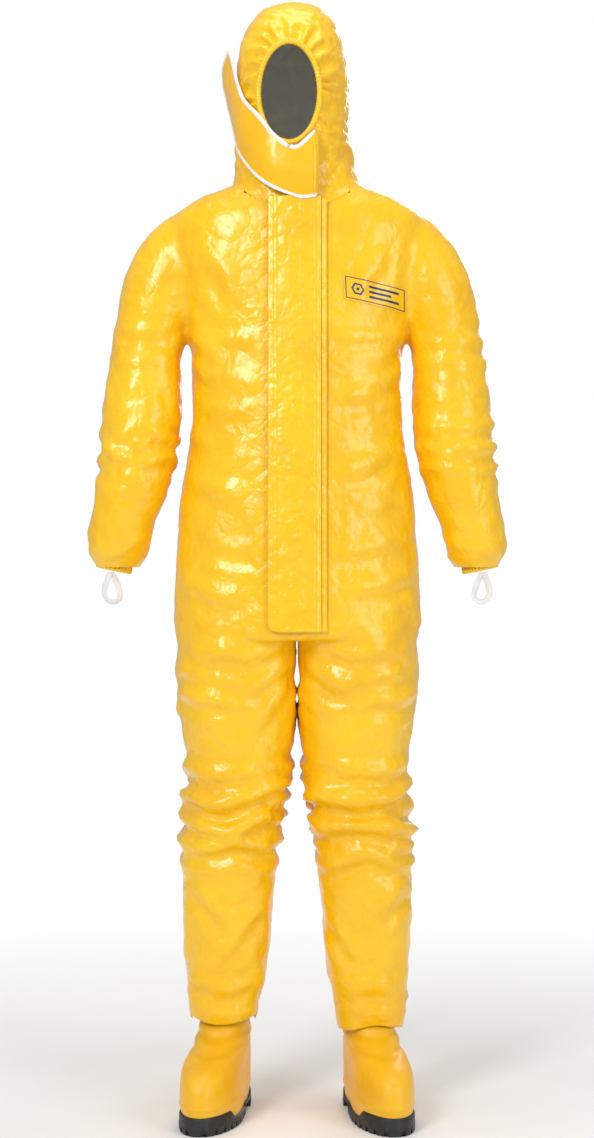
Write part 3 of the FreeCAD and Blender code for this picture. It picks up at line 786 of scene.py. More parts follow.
def laminate(name, light, mid, dark, crinkle=1.0):
    """Glossy plastic-coated cloth, crinkled like film."""
    n = Nodes(name)
    at = n.place()
    wander = n.noise(at, 9.0, 3.0, 0.55)
    fine = n.noise(at, 60.0, 3.0, 0.6)
    colour = n.shades(n.math("ADD", n.math("MULTIPLY", wander, 0.75), n.math("MULTIPLY", fine, 0.25)),
                      (0.30, dark), (0.50, mid), (0.72, light))
    n.wire(colour, n.shader.inputs["Base Color"])
    gloss = n.noise(at, 14.0, 2.0, 0.6)
    n.wire(n.spread(gloss, 0.3, 0.7, 0.22, 0.38), n.shader.inputs["Roughness"])
    n.put(Specular_IOR_Level=0.5, Coat_Weight=0.25, Coat_Roughness=0.12, Subsurface_Weight=0.0)
    # film crinkles: sharp facets at three sizes, bent by noise
    shift = n.add("ShaderNodeVectorMath", operation="ADD")
    bend = n.add("ShaderNodeTexNoise")
    bend.inputs["Scale"].default_value = 11.0
    bend.inputs["Detail"].default_value = 2.0
    n.wire(at, bend.inputs["Vector"])
    small = n.add("ShaderNodeVectorMath", operation="SCALE")
    small.inputs["Scale"].default_value = 0.05
    n.wire(bend.outputs["Color"], small.inputs[0])
    n.wire(at, shift.inputs[0])
    n.wire(small.outputs[0], shift.inputs[1])
    bent = shift.outputs[0]
    wide = n.facets(bent, 34.0, "DISTANCE_TO_EDGE")
    close = n.facets(bent, 85.0, "DISTANCE_TO_EDGE")
    first = n.bump(n.spread(wide, 0.0, 0.35), 0.0011 * crinkle, 0.8)
    second = n.bump(n.spread(close, 0.0, 0.4), 0.0004 * crinkle, 0.7, under=first)
    third = n.bump(n.noise(at, 420.0, 2.0, 0.6), 0.00008 * crinkle, 0.6, under=second)
    n.wire(third, n.shader.inputs["Normal"])
    return n.material


def woven(name, colour, shade, scale=900.0, rough=0.85):
    """Plain woven or knitted tape with a fine rib, whose grooves are darkened with painted shade."""
    n = Nodes(name)
    at = n.place()
    rib = n.add("ShaderNodeTexWave", wave_type="BANDS", bands_direction="DIAGONAL")
    rib.inputs["Scale"].default_value = scale / 6
    rib.inputs["Distortion"].default_value = 1.5
    n.wire(at, rib.inputs["Vector"])
    soil = n.noise(at, 40.0, 3.0, 0.6)
    # the rib's sunken bands are painted darker in the colour, a painted shade in its grooves, mixed with
    # random soiling from the noise
    soil_and_groove_shade = n.math("ADD", n.math("MULTIPLY", rib.outputs["Fac"], 0.4), n.math("MULTIPLY", soil, 0.6))
    n.wire(n.shades(soil_and_groove_shade, (0.2, shade), (0.7, colour)), n.shader.inputs["Base Color"])
    n.wire(n.bump(rib.outputs["Fac"], 0.0002, 0.6), n.shader.inputs["Normal"])
    n.put(Roughness=rough, Specular_IOR_Level=0.25)
    return n.material


def plain(name, colour, shade, rough, scale, bump_size=0.0, bump_scale=600.0, **sockets):
    """Moulded or coated surface with slight mottling and a fine skin."""
    n = Nodes(name)
    at = n.place()
    n.wire(n.shades(n.noise(at, scale, 4.0, 0.6), (0.3, shade), (0.7, colour)), n.shader.inputs["Base Color"])
    gloss = n.noise(at, scale * 2.3, 3.0, 0.6)
    n.wire(n.spread(gloss, 0.3, 0.7, rough * 0.85, rough * 1.2), n.shader.inputs["Roughness"])
    if bump_size:
        n.wire(n.bump(n.noise(at, bump_scale, 3.0, 0.6), bump_size, 0.6), n.shader.inputs["Normal"])
    n.put(**sockets)
    return n.material


YELLOW = laminate("suit_laminate_yellow", (0.98, 0.60, 0.008), (0.95, 0.54, 0.004), (0.90, 0.47, 0.002))
WHITE_INSIDE = laminate("suit_laminate_inside", (0.86, 0.85, 0.80), (0.82, 0.81, 0.75), (0.78, 0.76, 0.68))
CHIN_YELLOW = laminate("chin_flap_laminate", (0.97, 0.56, 0.006), (0.94, 0.50, 0.003), (0.90, 0.45, 0.002),
                       crinkle=0.5)
FLAP_YELLOW = laminate("storm_flap_laminate", (0.98, 0.61, 0.010), (0.955, 0.55, 0.005), (0.91, 0.48, 0.003),
                       crinkle=0.8)
WHITE_TAPE = woven("white_tape", (0.88, 0.87, 0.85), (0.72, 0.71, 0.69))
ZIP_CLOTH = woven("zip_tape_cloth", (0.93, 0.52, 0.010), (0.85, 0.44, 0.006), 1200.0)
ELASTIC = woven("white_elastic_band", (0.90, 0.89, 0.87), (0.66, 0.65, 0.63), 1500.0)
BOOT_LINING = woven("boot_lining", (0.75, 0.72, 0.62), (0.6, 0.57, 0.48), 700.0)
INSOLE = woven("insole_felt", (0.30, 0.30, 0.32), (0.20, 0.20, 0.22), 500.0)
ADHESIVE = plain("adhesive_liner", (0.80, 0.78, 0.70), (0.70, 0.68, 0.58), 0.30, 60.0, 0.0001)
ZIP_PLASTIC = plain("zip_plastic", (0.95, 0.52, 0.010), (0.88, 0.44, 0.005), 0.35, 200.0, 0.00005)
BADGE_BLUE = plain("badge_blue_print", (0.012, 0.035, 0.16), (0.008, 0.024, 0.12), 0.35, 90.0)
BOOT_PVC = plain("boot_pvc_yellow", (0.95, 0.53, 0.008), (0.88, 0.45, 0.005), 0.42, 25.0, 0.00012, 500.0,
                 Coat_Weight=0.10, Coat_Roughness=0.3)
SOLE_RUBBER = plain("outsole_black_rubber", (0.022, 0.022, 0.024), (0.010, 0.010, 0.011), 0.50, 80.0,
                    0.0002, 400.0)
STEEL = plain("toe_and_sole_steel", (0.55, 0.55, 0.56), (0.45, 0.45, 0.46), 0.35, 60.0, Metallic=1.0)


# ---------------------------------------------------------------- room, light and camera
FADE_FROM, FADE_TO = 0.55, 2.0           # where the floor starts and ends turning white
SOFT_LIGHT = 0.46


def make_floor():
    """A round pale floor that fades into the white studio, so nothing hides the sides or back."""
    around, radii = 96, (0.0005, 0.4, 0.8, 1.2, 1.6, 2.0, 2.4, 2.8)
    turn = np.linspace(0, 2 * np.pi, around, endpoint=False)
    verts = [(r * math.sin(a), BODY_Y + r * math.cos(a), 0.0) for r in radii for a in turn]
    floor = link("floor", verts, grid_faces(len(radii), around, wrap=True))
    n = Nodes("floor_paper")
    at = n.add("ShaderNodeTexCoord").outputs["Object"]
    n.wire(n.shades(n.noise(at, 3.0, 2.0), (0.3, (0.88, 0.88, 0.88)), (0.7, (0.91, 0.91, 0.91))),
           n.shader.inputs["Base Color"])
    n.put(Roughness=0.9, Specular_IOR_Level=0.1)
    far = n.add("ShaderNodeVectorMath", operation="LENGTH")
    n.wire(at, far.inputs[0])
    white = n.add("ShaderNodeEmission")
    white.inputs["Color"].default_value = (1, 1, 1, 1)
    white.inputs["Strength"].default_value = 1.0
    fade = n.add("ShaderNodeMixShader")
    n.wire(n.spread(far.outputs["Value"], FADE_FROM, FADE_TO), fade.inputs[0])
    n.wire(n.shader.outputs[0], fade.inputs[1])
    n.wire(white.outputs[0], fade.inputs[2])
    n.wire(fade.outputs[0], n.output.inputs["Surface"])
    floor.data.materials.append(n.material)


def make_room():
    scene = bpy.context.scene
    make_floor()
    world = bpy.data.worlds.new("studio")
    scene.world = world
    world.use_nodes = True
    tree = world.node_tree
    soft = tree.nodes["Background"]
    soft.inputs["Color"].default_value = (1.0, 1.0, 1.0, 1)
    soft.inputs["Strength"].default_value = SOFT_LIGHT
    seen = tree.nodes.new("ShaderNodeBackground")
    seen.inputs["Color"].default_value = (1.0, 1.0, 1.0, 1)
    seen.inputs["Strength"].default_value = 1.0
    rays = tree.nodes.new("ShaderNodeLightPath")
    either = tree.nodes.new("ShaderNodeMixShader")
    tree.links.new(rays.outputs["Is Camera Ray"], either.inputs[0])
    tree.links.new(soft.outputs[0], either.inputs[1])
    tree.links.new(seen.outputs[0], either.inputs[2])
    tree.links.new(either.outputs[0], tree.nodes["World Output"].inputs["Surface"])

    def lamp(name, place, aim, size, power, tall=None):
        data = bpy.data.lights.new(name, "AREA")
        data.energy = power
        data.size = size
        if tall:
            data.shape = "RECTANGLE"
            data.size_y = tall
        obj = bpy.data.objects.new(name, data)
        scene.collection.objects.link(obj)
        obj.location = place
        obj.rotation_euler = (Vector(aim) - Vector(place)).to_track_quat("-Z", "Y").to_euler()

    lamp("key", (-1.5, -3.0, 2.7), (0, 0, 1.05), 0.9, 62, tall=1.5)
    lamp("fill", (2.3, -2.6, 1.5), (0, 0, 0.9), 1.2, 30, tall=2.2)
    lamp("top", (0, -0.2, 3.4), (0, 0, 0.9), 1.6, 22)
    lamp("rear", (0.6, 3.2, 2.3), (0, 0, 1.0), 1.6, 30, tall=1.8)

    data = bpy.data.cameras.new("camera")
    data.lens = LENS
    data.sensor_width = 36
    camera = bpy.data.objects.new("camera", data)
    scene.collection.objects.link(camera)
    camera.location = (0, BODY_Y - CAMERA_AWAY, EYE_Z)
    camera.rotation_euler = (math.radians(90 - LOOK_DOWN), 0, 0)
    scene.camera = camera
    scene.view_settings.view_transform = "Standard"


make_room()


# ---------------------------------------------------------------- panels of the coverall
CROTCH_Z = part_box("front_panel_left")[0][2]
SEAM_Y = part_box("front_panel_left")[1][1]
ARM_SPLIT_Z = 1.160


def panel_of(c):
    """Name of the panel for each point of the smooth form."""
    x, y, z = c[:, 0], c[:, 1], c[:, 2]
    side = np.where(x > 0, "_left", "_right").astype(object)
    zip_side = np.where(x > ZIP_X, "_left", "_right").astype(object)
    front = y < SEAM_Y
    name = np.where(front, "trouser_front", "trouser_back").astype(object) + side
    name = np.where(z < HEM_Z + 0.022, "trouser_hem" + side, name)
    trunk = z > CROTCH_Z
    name = np.where(trunk & front, "front_panel" + zip_side, name)
    name = np.where(trunk & ~front, "back_panel" + side, name)
    gusset = (np.abs(x) < 0.034) & (z < CROTCH_Z + 0.006) & (z > CROTCH_Z - 0.03)
    name = np.where(gusset, "crotch_gusset", name)
    arm = is_arm(c)
    name = np.where(arm, np.where(z > ARM_SPLIT_Z, "upper_sleeve" + side, "forearm_sleeve" + side), name)
    return name


def vector_attribute(mesh, name):
    out = np.empty(len(mesh.vertices) * 3, np.float32)
    mesh.attributes[name].data.foreach_get("vector", out)
    return out.reshape(-1, 3).astype(float)


def cut_panels(obj):
    """One mesh object per panel, shaded as one surface with its neighbours."""
    mesh = obj.data
    co, no = points_of(obj), normals_of(obj)
    home = vector_attribute(mesh, "home")
    faces = [tuple(f.vertices) for f in mesh.polygons]
    centres = np.array([home[list(f)].mean(0) for f in faces])
    names = panel_of(centres)
    made = {}
    for name in sorted(set(names)):
        own = [faces[i] for i in np.flatnonzero(names == name)]
        used = sorted({v for f in own for v in f})
        place = {v: k for k, v in enumerate(used)}
        piece = link("cloth_" + name, co[used], [[place[v] for v in f] for f in own])
        smooth(piece)
        thicken(piece, CLOTH_WALL, YELLOW, WHITE_INSIDE)
        normals = normals_of(piece)
        normals[:len(used)] = no[used]
        piece.data.normals_split_custom_set_from_vertices([tuple(v) for v in normals])
        made[name] = piece
    bpy.data.objects.remove(obj)
    return made


cloth_tree = tree_of(points_of(coverall), [tuple(f.vertices) for f in coverall.data.polygons])
panels = cut_panels(coverall)
for name, piece in panels.items():
    dress(piece, [name])
    side = "left" if name.endswith("left") else "right"
    s = 1 if side == "left" else -1
    if name.startswith("upper_sleeve"):
        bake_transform(piece)
    elif name.startswith("forearm_sleeve"):
        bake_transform(piece)
    else:
        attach(piece, "root")


# ---------------------------------------------------------------- hood
# height, half width, front and back from the wearer's middle
HOOD = (
    (1.470, 0.112, 0.100, 0.110), (1.500, 0.104, 0.097, 0.100), (1.530, 0.098, 0.096, 0.093),
    (1.600, 0.096, 0.107, 0.108), (1.690, 0.0955, 0.113, 0.121), (1.755, 0.091, 0.106, 0.122),
    (1.800, 0.077, 0.085, 0.104), (1.832, 0.052, 0.052, 0.075), (1.8465, 0.014, 0.012, 0.026),
)
FACE = Vector((-0.013, 0, 1.680))
FACE_HALF = (0.051, 0.083)
HEAD = Vector((HOOD_X, BODY_Y + 0.006, 1.675))


def hood_form():
    rings = [ring(HOOD_X, BODY_Y, z, half, front, back, 2.15, 96) for z, half, front, back in spline(HOOD, 6)]
    verts, faces = closed_tube(rings)
    return tree_of(verts, faces)


hood_tree = hood_form()


def neck_line(turn):
    """Points on the cloth round the neck where the hood is sewn on; turn is 0 at the front."""
    out = []
    for a in turn:
        y = BODY_Y - 0.002 - 0.102 * math.cos(a)
        x = 0.100 * math.sin(a)
        z = 1.494 + 0.022 * (1 - math.cos(a)) + 0.018 * math.sin(a) ** 2
        spot, normal, _, _ = cloth_tree.find_nearest(Vector((x, y, z)))
        out.append(spot + normal * (0.0020 - 0.0030 * math.sin(a) ** 2))
    return np.array(out)


def soft_ring(x, passes):
    """Smooths a closed row of points."""
    for _ in range(passes):
        x = (np.roll(x, 1, axis=0) + x * 2 + np.roll(x, -1, axis=0)) / 4
    return x


def hood_rows(turn, share, face, neck):
    """Rows of points from the face to the neck, on the hood's smooth form."""
    head = np.array(HEAD)
    f, n = unit(face - head), unit(neck - head)
    over = (1 - np.cos(turn)) / 2
    m = unit(np.stack([np.sin(turn) * 1.25, -0.75 + 1.35 * over, -0.95 + 1.95 * over], 1))
    verts = np.empty((len(share), len(turn), 3))
    for r, t in enumerate(share):
        d = unit((1 - t) ** 2 * f + 2 * t * (1 - t) * m + t * t * n)
        for k in range(len(turn)):
            hit = hood_tree.ray_cast(HEAD, Vector(d[k]))[0]
            verts[r, k] = hit if hit is not None else neck[k]
        w = smoothstep((t - 0.80) / 0.20)
        verts[r] = verts[r] * (1 - w) + neck * w
    return verts


def hood_folds(co, turn, share, edge):
    """Height of the gathers, creases and seams; edge is each point's distance from the face."""
    # gathers run out from the elastic, strongest over the brow and cheeks
    where = 0.55 + 0.45 * smoothstep((1 - np.cos(turn) - 0.5) / 0.8)
    near = np.stack([np.cos(turn) * 4, np.sin(turn) * 4, edge * 25], 1)
    pleat = np.abs(np.sin(turn * 46 + 2.2 * value_noise(near, 71))) ** 0.7 * 2 - 1
    far = np.stack([np.cos(turn) * 3, np.sin(turn) * 3, edge * 14 + 3], 1)
    wide_pleat = np.sin(turn * 23 + 3.0 * value_noise(far, 73))
    high = where * (pleat * 0.0024 * np.exp(-edge / 0.016) + wide_pleat * 0.0040 * bump(edge, 0.020, 0.022))
    # facets over the crown and sides, and folds where it bunches at the neck
    tall = co.copy()
    tall[:, 2] *= 1.5
    facets = film(tall, 0.062, 0.6, 75)
    small = film(tall, 0.030, 0.6, 79)
    neck_fold = bump(co[:, 2], 1.575, 0.035)
    bunch = wavy(co * (0.5, 0.5, 1.5), 0.035, 0.5, 83)
    high += smoothstep(edge / 0.03) * (facets * 0.0065 + small * 0.0026) + neck_fold * bunch * 0.0065
    high *= 1 - 0.95 * smoothstep((share - 0.93) / 0.06)
    # welded seams either side of the crown strip, and the tape round the neck
    seam = sum(bump(co[:, 0] - HOOD_X, s * 0.045, 0.0028) for s in (1, -1))
    seam = seam * (co[:, 2] > 1.60) * smoothstep(edge / 0.02)
    return high + (seam * 0.0013 + bump(share, 0.985, 0.012) * 0.0012)


def make_hood():
    around, rows = 260, 96
    u = turns(around)
    face = np.stack([FACE.x + FACE_HALF[0] * np.sin(u), np.zeros(around),
                     FACE.z - FACE_HALF[1] * np.cos(u)], 1)
    for k in range(around):
        hit = hood_tree.ray_cast(Vector((face[k, 0], -1, face[k, 2])), Vector((0, 1, 0)))[0]
        face[k, 1] = hit.y
    neck = soft_ring(neck_line(u), 6)
    v = np.linspace(0, 1, rows) ** 1.12
    verts = hood_rows(u, v, face, neck)
    # seam allowance, turned in under the coverall's neck
    inward = -unit((neck - np.array((HOOD_X, BODY_Y, 0))) * (1, 1, 0))
    tuck = [neck + inward * (0.0040 * k) - np.array((0, 0, 0.0050 * k)) for k in (1, 2, 3)]
    verts = np.concatenate([verts, tuck])
    v = np.append(v, (1, 1, 1))
    rows += len(tuck)
    obj = link("hood_cloth", verts.reshape(-1, 3), grid_faces(rows, around, wrap=True))
    smooth(obj)
    co, no = points_of(obj), face_away(obj, np.array(HEAD))
    edge = np.linalg.norm(co - np.repeat(face[None], rows, 0).reshape(-1, 3), axis=1)
    co += no * hood_folds(co, np.tile(u, rows), np.repeat(v, around), edge)[:, None]
    set_points(obj, co)
    thicken(obj, HOOD_WALL, YELLOW, WHITE_INSIDE)
    return obj, verts[0], co.reshape(rows, around, 3)


hood, face_edge, hood_grid = make_hood()
dress(hood, ["hood_centre_strip", "hood_side_left", "hood_side_right"])
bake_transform(hood)


def tube(name, path, across, out, half_wide, half_thick, count=10, closed=False):
    """A flattened tube along a path; across and out give its frame at each point."""
    rings = []
    for k in range(count):
        a = 2 * math.pi * k / count
        rings.append(path + across * (math.cos(a) * half_wide) + out * (math.sin(a) * half_thick))
    verts = np.stack(rings, 1)
    rows = len(path)
    faces = grid_faces(rows, count, wrap=True)
    if closed:
        for c in range(count):
            d = (c + 1) % count
            faces.append(((rows - 1) * count + c, (rows - 1) * count + d, d, c))
    else:
        faces.append(tuple(reversed(range(count))))
        faces.append(tuple(range((rows - 1) * count, rows * count)))
    obj = link(name, verts.reshape(-1, 3), faces)
    outward_normals(obj)
    smooth(obj)
    return obj


def make_face_roll():
    """The turned edge that holds the elastic round the face, bunched into small lobes."""
    count = 520
    u = turns(count)
    at = np.stack([np.interp(u, np.linspace(0, 2 * np.pi, len(face_edge) + 1),
                             np.append(face_edge[:, a], face_edge[0, a])) for a in range(3)], 1)
    along = unit(np.roll(at, -1, axis=0) - np.roll(at, 1, axis=0))
    middle = np.array((FACE.x, 0, FACE.z))
    inward = middle - at
    inward[:, 1] = 0
    inward = unit(inward - along * (inward * along).sum(1)[:, None])
    out = unit(np.cross(along, inward))
    out *= np.sign(-out[:, 1])[:, None]
    lobes = 0.5 + 0.5 * np.abs(np.sin(u * 46 + 1.2 * np.sin(u * 5)))
    wide = (0.0036 + 0.0016 * lobes)[:, None]
    thick = (0.0026 + 0.0016 * lobes)[:, None]
    obj = tube("hood_edge_roll", at + inward * 0.001 + out * 0.0005, inward, out, wide, thick, closed=True)
    obj.data.materials.append(YELLOW)
    remember_rest(obj)
    return obj


roll = make_face_roll()
dress(roll, ["hood_face_elastic"], "hood")


# ---------------------------------------------------------------- chin flap
# along each edge from the sewn side to the tip: x, y, height
CHIN_UPPER = (
    (0.031, -0.088, 1.633), (-0.001, -0.095, 1.606), (-0.023, -0.095, 1.616), (-0.043, -0.091, 1.6335),
    (-0.062, -0.082, 1.658), (-0.087, -0.060, 1.685), (-0.099, -0.040, 1.714), (-0.106, -0.022, 1.7435),
    (-0.113, -0.006, 1.768),
)
CHIN_LOWER = (
    (0.033, -0.084, 1.528), (0.010, -0.086, 1.5245), (-0.013, -0.086, 1.5305), (-0.052, -0.081, 1.548),
    (-0.077, -0.063, 1.570), (-0.096, -0.040, 1.597), (-0.105, -0.012, 1.629), (-0.113, 0.022, 1.665),
    (-0.121, 0.052, 1.700), (-0.1225, 0.062, 1.717),
)


def seen_at(points):
    """Moves points that stand ahead of the body's middle in towards the eye line, where they
    really are when they look this far out."""
    out = []
    for x, y, z in points:
        nearer = CAMERA_AWAY + y - BODY_Y
        out.append((x * nearer / CAMERA_AWAY, y, EYE_Z + (z - EYE_Z) * nearer / CAMERA_AWAY))
    return out


def even_path(points, count):
    """Evenly spaced points on a smooth line through the given ones."""
    rows = spline(points, 12)
    run = np.concatenate([[0], np.cumsum(np.linalg.norm(np.diff(rows, axis=0), axis=1))])
    at = np.linspace(0, run[-1], count)
    return np.stack([np.interp(at, run, rows[:, a]) for a in range(3)], 1)


def sheet_skin(name, grid, thickness, out_material, in_material):
    """A thin two-sided sheet over a grid of points; its outer side faces out."""
    rows, cols = grid.shape[:2]
    obj = link(name, grid.reshape(-1, 3), grid_faces(rows, cols))
    smooth(obj)
    no = normals_of(obj)
    middle = np.array((HOOD_X, BODY_Y + 0.02, 0))
    facing = ((points_of(obj) - middle) * no * (1, 1, 0)).sum(1).mean()
    if facing < 0:
        obj.data.flip_normals()
    thicken(obj, thickness, out_material, in_material, offset=0)
    return obj


def clear_of(grid, tree, gap):
    """Pushes points outwards until they stand off a surface by a gap."""
    flat = grid.reshape(-1, 3)
    for k, point in enumerate(flat):
        spot, normal, _, _ = tree.find_nearest(Vector(point))
        height = (Vector(point) - spot).dot(normal)
        if height < gap:
            flat[k] = point + np.array(normal) * (gap - height)
    return flat.reshape(grid.shape)


def from_neck(points):
    """Level directions away from the line up through the neck."""
    return unit((points - np.array((HOOD_X, BODY_Y + 0.03, 0))) * (1, 1, 0))


def smooth_grid(grid, passes):
    for _ in range(passes):
        inner = (grid[:-2, 1:-1] + grid[2:, 1:-1] + grid[1:-1, :-2] + grid[1:-1, 2:]) / 4
        grid[1:-1, 1:-1] = inner
    return grid


def make_chin_flap():
    cols, rows = 90, 42
    upper, lower = even_path(seen_at(CHIN_UPPER), cols), even_path(seen_at(CHIN_LOWER), cols)
    t = np.linspace(0, 1, rows)[:, None, None]
    grid = lower[None] * (1 - t) + upper[None] * t
    bulge = np.sin(np.pi * t) * 0.006
    away = from_neck(grid)
    grid = grid + away * bulge
    rows_hood, around = hood_grid.shape[:2]
    inner_side = [f[::-1] for f in grid_faces(rows_hood, around, wrap=True)]
    tree = tree_of(hood_grid.reshape(-1, 3), inner_side)
    for _ in range(3):
        grid = clear_of(grid, tree, 0.0045)
        grid = smooth_grid(grid, 4)
    flat = grid.reshape(-1, 3)
    facets = film(flat, 0.050, 0.5, 91)
    grid = grid + away * (facets * 0.0022).reshape(rows, cols, 1)
    return grid


chin_grid = make_chin_flap()
chin = sheet_skin("chin_flap_cloth", chin_grid, CHIN_WALL, CHIN_YELLOW, WHITE_INSIDE)
dress(chin, ["chin_flap", "chin_flap_adhesive_strip"], "chin_flap")


def make_binding():
    """White tape folded over the chin flap's free edges."""
    free = np.concatenate([chin_grid[-1, :, :], chin_grid[::-1, -1, :][1:], chin_grid[0, ::-1, :][1:]])
    keep = [free[0]]
    for point in free[1:]:
        if np.linalg.norm(point - keep[-1]) > 0.0012:
            keep.append(point)
    path = np.array(keep)
    for _ in range(3):
        path[1:-1] = (path[:-2] + path[1:-1] * 2 + path[2:]) / 4
    along = unit(np.gradient(path, axis=0))
    middle = chin_grid.reshape(-1, 3).mean(0)
    away = from_neck(path)
    away = unit(away - along * (away * along).sum(1)[:, None])
    across = unit(np.cross(along, away))
    across *= np.sign(((middle - path) * across).sum(1))[:, None]
    wave = 1 + 0.12 * value_noise(path / 0.012, 95)[:, None]
    wide, thick = 0.0036 * wave, 0.0017 * wave
    return tube("chin_flap_tape", path + across * 0.0012, across, away, wide, thick, count=12)


binding = make_binding()
binding.data.materials.append(WHITE_TAPE)
remember_rest(binding)
dress(binding, ["chin_flap_binding"], "chin_flap")


# ---------------------------------------------------------------- storm flap, strips and zip
FLAP_LOW, FLAP_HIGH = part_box("storm_flap")
FLAP_GAP, FLAP_DOME = 0.0042, 0.0052
FLAP_CORNER = 0.016                          # radius of its lower corner
FLAP_LINES = (-0.040, -0.0345, 0.0075, 0.0265, 0.0320)


def front_y(z):
    """The straight front line of the trunk."""
    return BODY_Y - front_line(z)


def cloth_front(x, z, fallback):
    hit = cloth_tree.ray_cast(Vector((x, -1, z)), Vector((0, 1, 0)))[0]
    return hit.y if hit is not None and hit.y < BODY_Y - 0.02 else fallback


def flap_lift(u):
    """How far the closed storm flap domes off the front; u runs across it from 0 to 1."""
    return FLAP_GAP + FLAP_DOME * np.sin(np.pi * u) ** 0.8


def ridge_lines(x, places, width):
    """Raised lines, as over stitching or a pressed crease."""
    return sum(bump(x, a, width) for a in places)


def make_storm_flap():
    """A domed strip over the zip, with stitched ridges, pressed creases and a rounded lower corner."""
    cols, rows = 46, 330
    t = np.linspace(0, 1, cols)
    z = np.linspace(FLAP_LOW.z + 0.0005, FLAP_HIGH.z + 0.004, rows)
    grid = np.empty((rows, cols, 3))
    for r in range(rows):
        left, right = FLAP_LOW.x + 0.0005, FLAP_HIGH.x - 0.0003
        low = (z[r] - z[0]) / FLAP_CORNER
        if low < 1:
            left += FLAP_CORNER * (1 - math.sqrt(max(0.0, 1 - (1 - low) ** 2)))
        x = left + (right - left) * t
        u = (x - FLAP_LOW.x) / (FLAP_HIGH.x - FLAP_LOW.x)
        lift = flap_lift(np.clip(u, 0, 1)) + 0.0006 * (1 - u)
        grid[r, :, 0] = x
        grid[r, :, 1] = front_y(z[r]) - lift
        grid[r, :, 2] = z[r]
    flat = grid.reshape(-1, 3)
    x = flat[:, 0]
    facets = film(flat * (1, 1, 1.2), 0.040, 0.7, 101)
    small = film(flat, 0.018, 0.6, 105)
    sag = value_noise(flat * (6, 1, 16), 109)
    edge = smoothstep(np.minimum(x - FLAP_LOW.x, FLAP_HIGH.x - x) / 0.010)
    high = edge * (facets * 0.0020 + small * 0.0010) + sag * 0.0007
    high += 0.0009 * ridge_lines(x, FLAP_LINES, 0.0011)
    high = np.clip(high, -0.0022, 0.0024)
    flat[:, 1] -= high
    return flat.reshape(grid.shape)


flap_grid = make_storm_flap()
flap = sheet_skin("storm_flap_cloth", flap_grid, FLAP_WALL, FLAP_YELLOW, WHITE_INSIDE)
dress(flap, ["storm_flap"], "storm_flap")


def front_grid(box, rows, cols, lift):
    """Rows of points up the trunk's straight front, over a box; lift(x) raises them off it."""
    low, high = box
    return np.array([[(x, front_y(z) - lift(x), z) for x in np.linspace(low.x, high.x, cols)]
                     for z in np.linspace(low.z, high.z, rows)])


def make_strip(name, box, lift, material, crinkle, cols=10, lines=(), wall=0.0008):
    """A flat strip that follows the cloth's front."""
    flat = front_grid(box, 200, cols, lambda x: lift - 0.0006).reshape(-1, 3)
    flat[:, 1] -= crinkle * wavy(flat, 0.02, 0.5, 111)
    flat[:, 1] -= 0.0005 * ridge_lines(flat[:, 0], lines, 0.0009)
    return sheet_skin(name, flat.reshape(200, cols, 3), wall, material, material)


hem_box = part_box("storm_flap_hem")
hem_lines = (hem_box[0].x + 0.0022, hem_box[0].x + 0.0055)
hem_strip = make_strip("storm_flap_sewn_hem", hem_box, 0.0030, FLAP_YELLOW, 0.0005, lines=hem_lines,
                       wall=0.0030)
dress(hem_strip, ["storm_flap_hem"], "root")


def adhesive_lift(x):
    """The adhesive lies on the storm flap's inner side."""
    return flap_lift((x - FLAP_LOW.x) / (FLAP_HIGH.x - FLAP_LOW.x)) - 0.0022


adhesive_grid = front_grid(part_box("storm_flap_adhesive_strip"), 120, 6, adhesive_lift)
strip = sheet_skin("storm_flap_adhesive", adhesive_grid, 0.0004, ADHESIVE, ADHESIVE)
dress(strip, ["storm_flap_adhesive_strip"], "storm_flap")


def own_node(name, material):
    """A CAD node that keeps its shape and gets a material."""
    obj = frame["nodes"][name]
    for k in range(max(1, len(obj.material_slots))):
        if k < len(obj.material_slots):
            obj.material_slots[k].material = material
        else:
            obj.data.materials.append(material)


def make_chain():
    """Zip teeth: small rounded blocks from the two tapes, set turn about."""
    low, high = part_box("zip_chain")
    pitch = 0.0030           # between neighbours on one tape
    verts, faces = [], []
    z = low.z + pitch
    side = 1
    while z < high.z - 0.002:
        y = front_y(z)
        x0, x1 = sorted((ZIP_X - side * 0.0012, ZIP_X + side * 0.0029))
        base = len(verts)
        for back, inset, dz in ((0.0011, 0.0, 0.0012), (-0.0006, 0.0, 0.0012), (-0.0013, 0.0006, 0.0007)):
            left, right = x0 + inset, x1 - inset
            verts += [(left, y + back, z - dz), (right, y + back, z - dz),
                      (right, y + back, z + dz), (left, y + back, z + dz)]
        for k in (0, 4):
            for c in range(4):
                d = (c + 1) % 4
                faces.append((base + k + c, base + k + d, base + k + 4 + d, base + k + 4 + c))
        faces.append((base + 3, base + 2, base + 1, base))
        faces.append((base + 8, base + 9, base + 10, base + 11))
        side = -side
        z += pitch / 2
    obj = link("zip_teeth", verts, faces)
    outward_normals(obj)
    obj.data.materials.append(ZIP_PLASTIC)
    remember_rest(obj)
    return obj


teeth = make_chain()
dress(teeth, ["zip_chain"], "root")
for s, side in SIDES:
    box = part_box("zip_tape_" + side)
    middle_line = ((box[0].x + box[1].x) / 2,)
    tape = make_strip("zip_tape_" + side + "_woven", box, 0.0012, ZIP_CLOTH, 0.0, lines=middle_line,
                      wall=0.0006)
    dress(tape, ["zip_tape_" + side], "root")


# ---------------------------------------------------------------- chest badge
BADGE_CORNERS = ((0.075, 1.3865), (0.180, 1.3655), (0.181, 1.3255), (0.077, 1.3450))
BADGE_WIDTH, BADGE_HEIGHT = 96.0, 38.0      # the print's own units


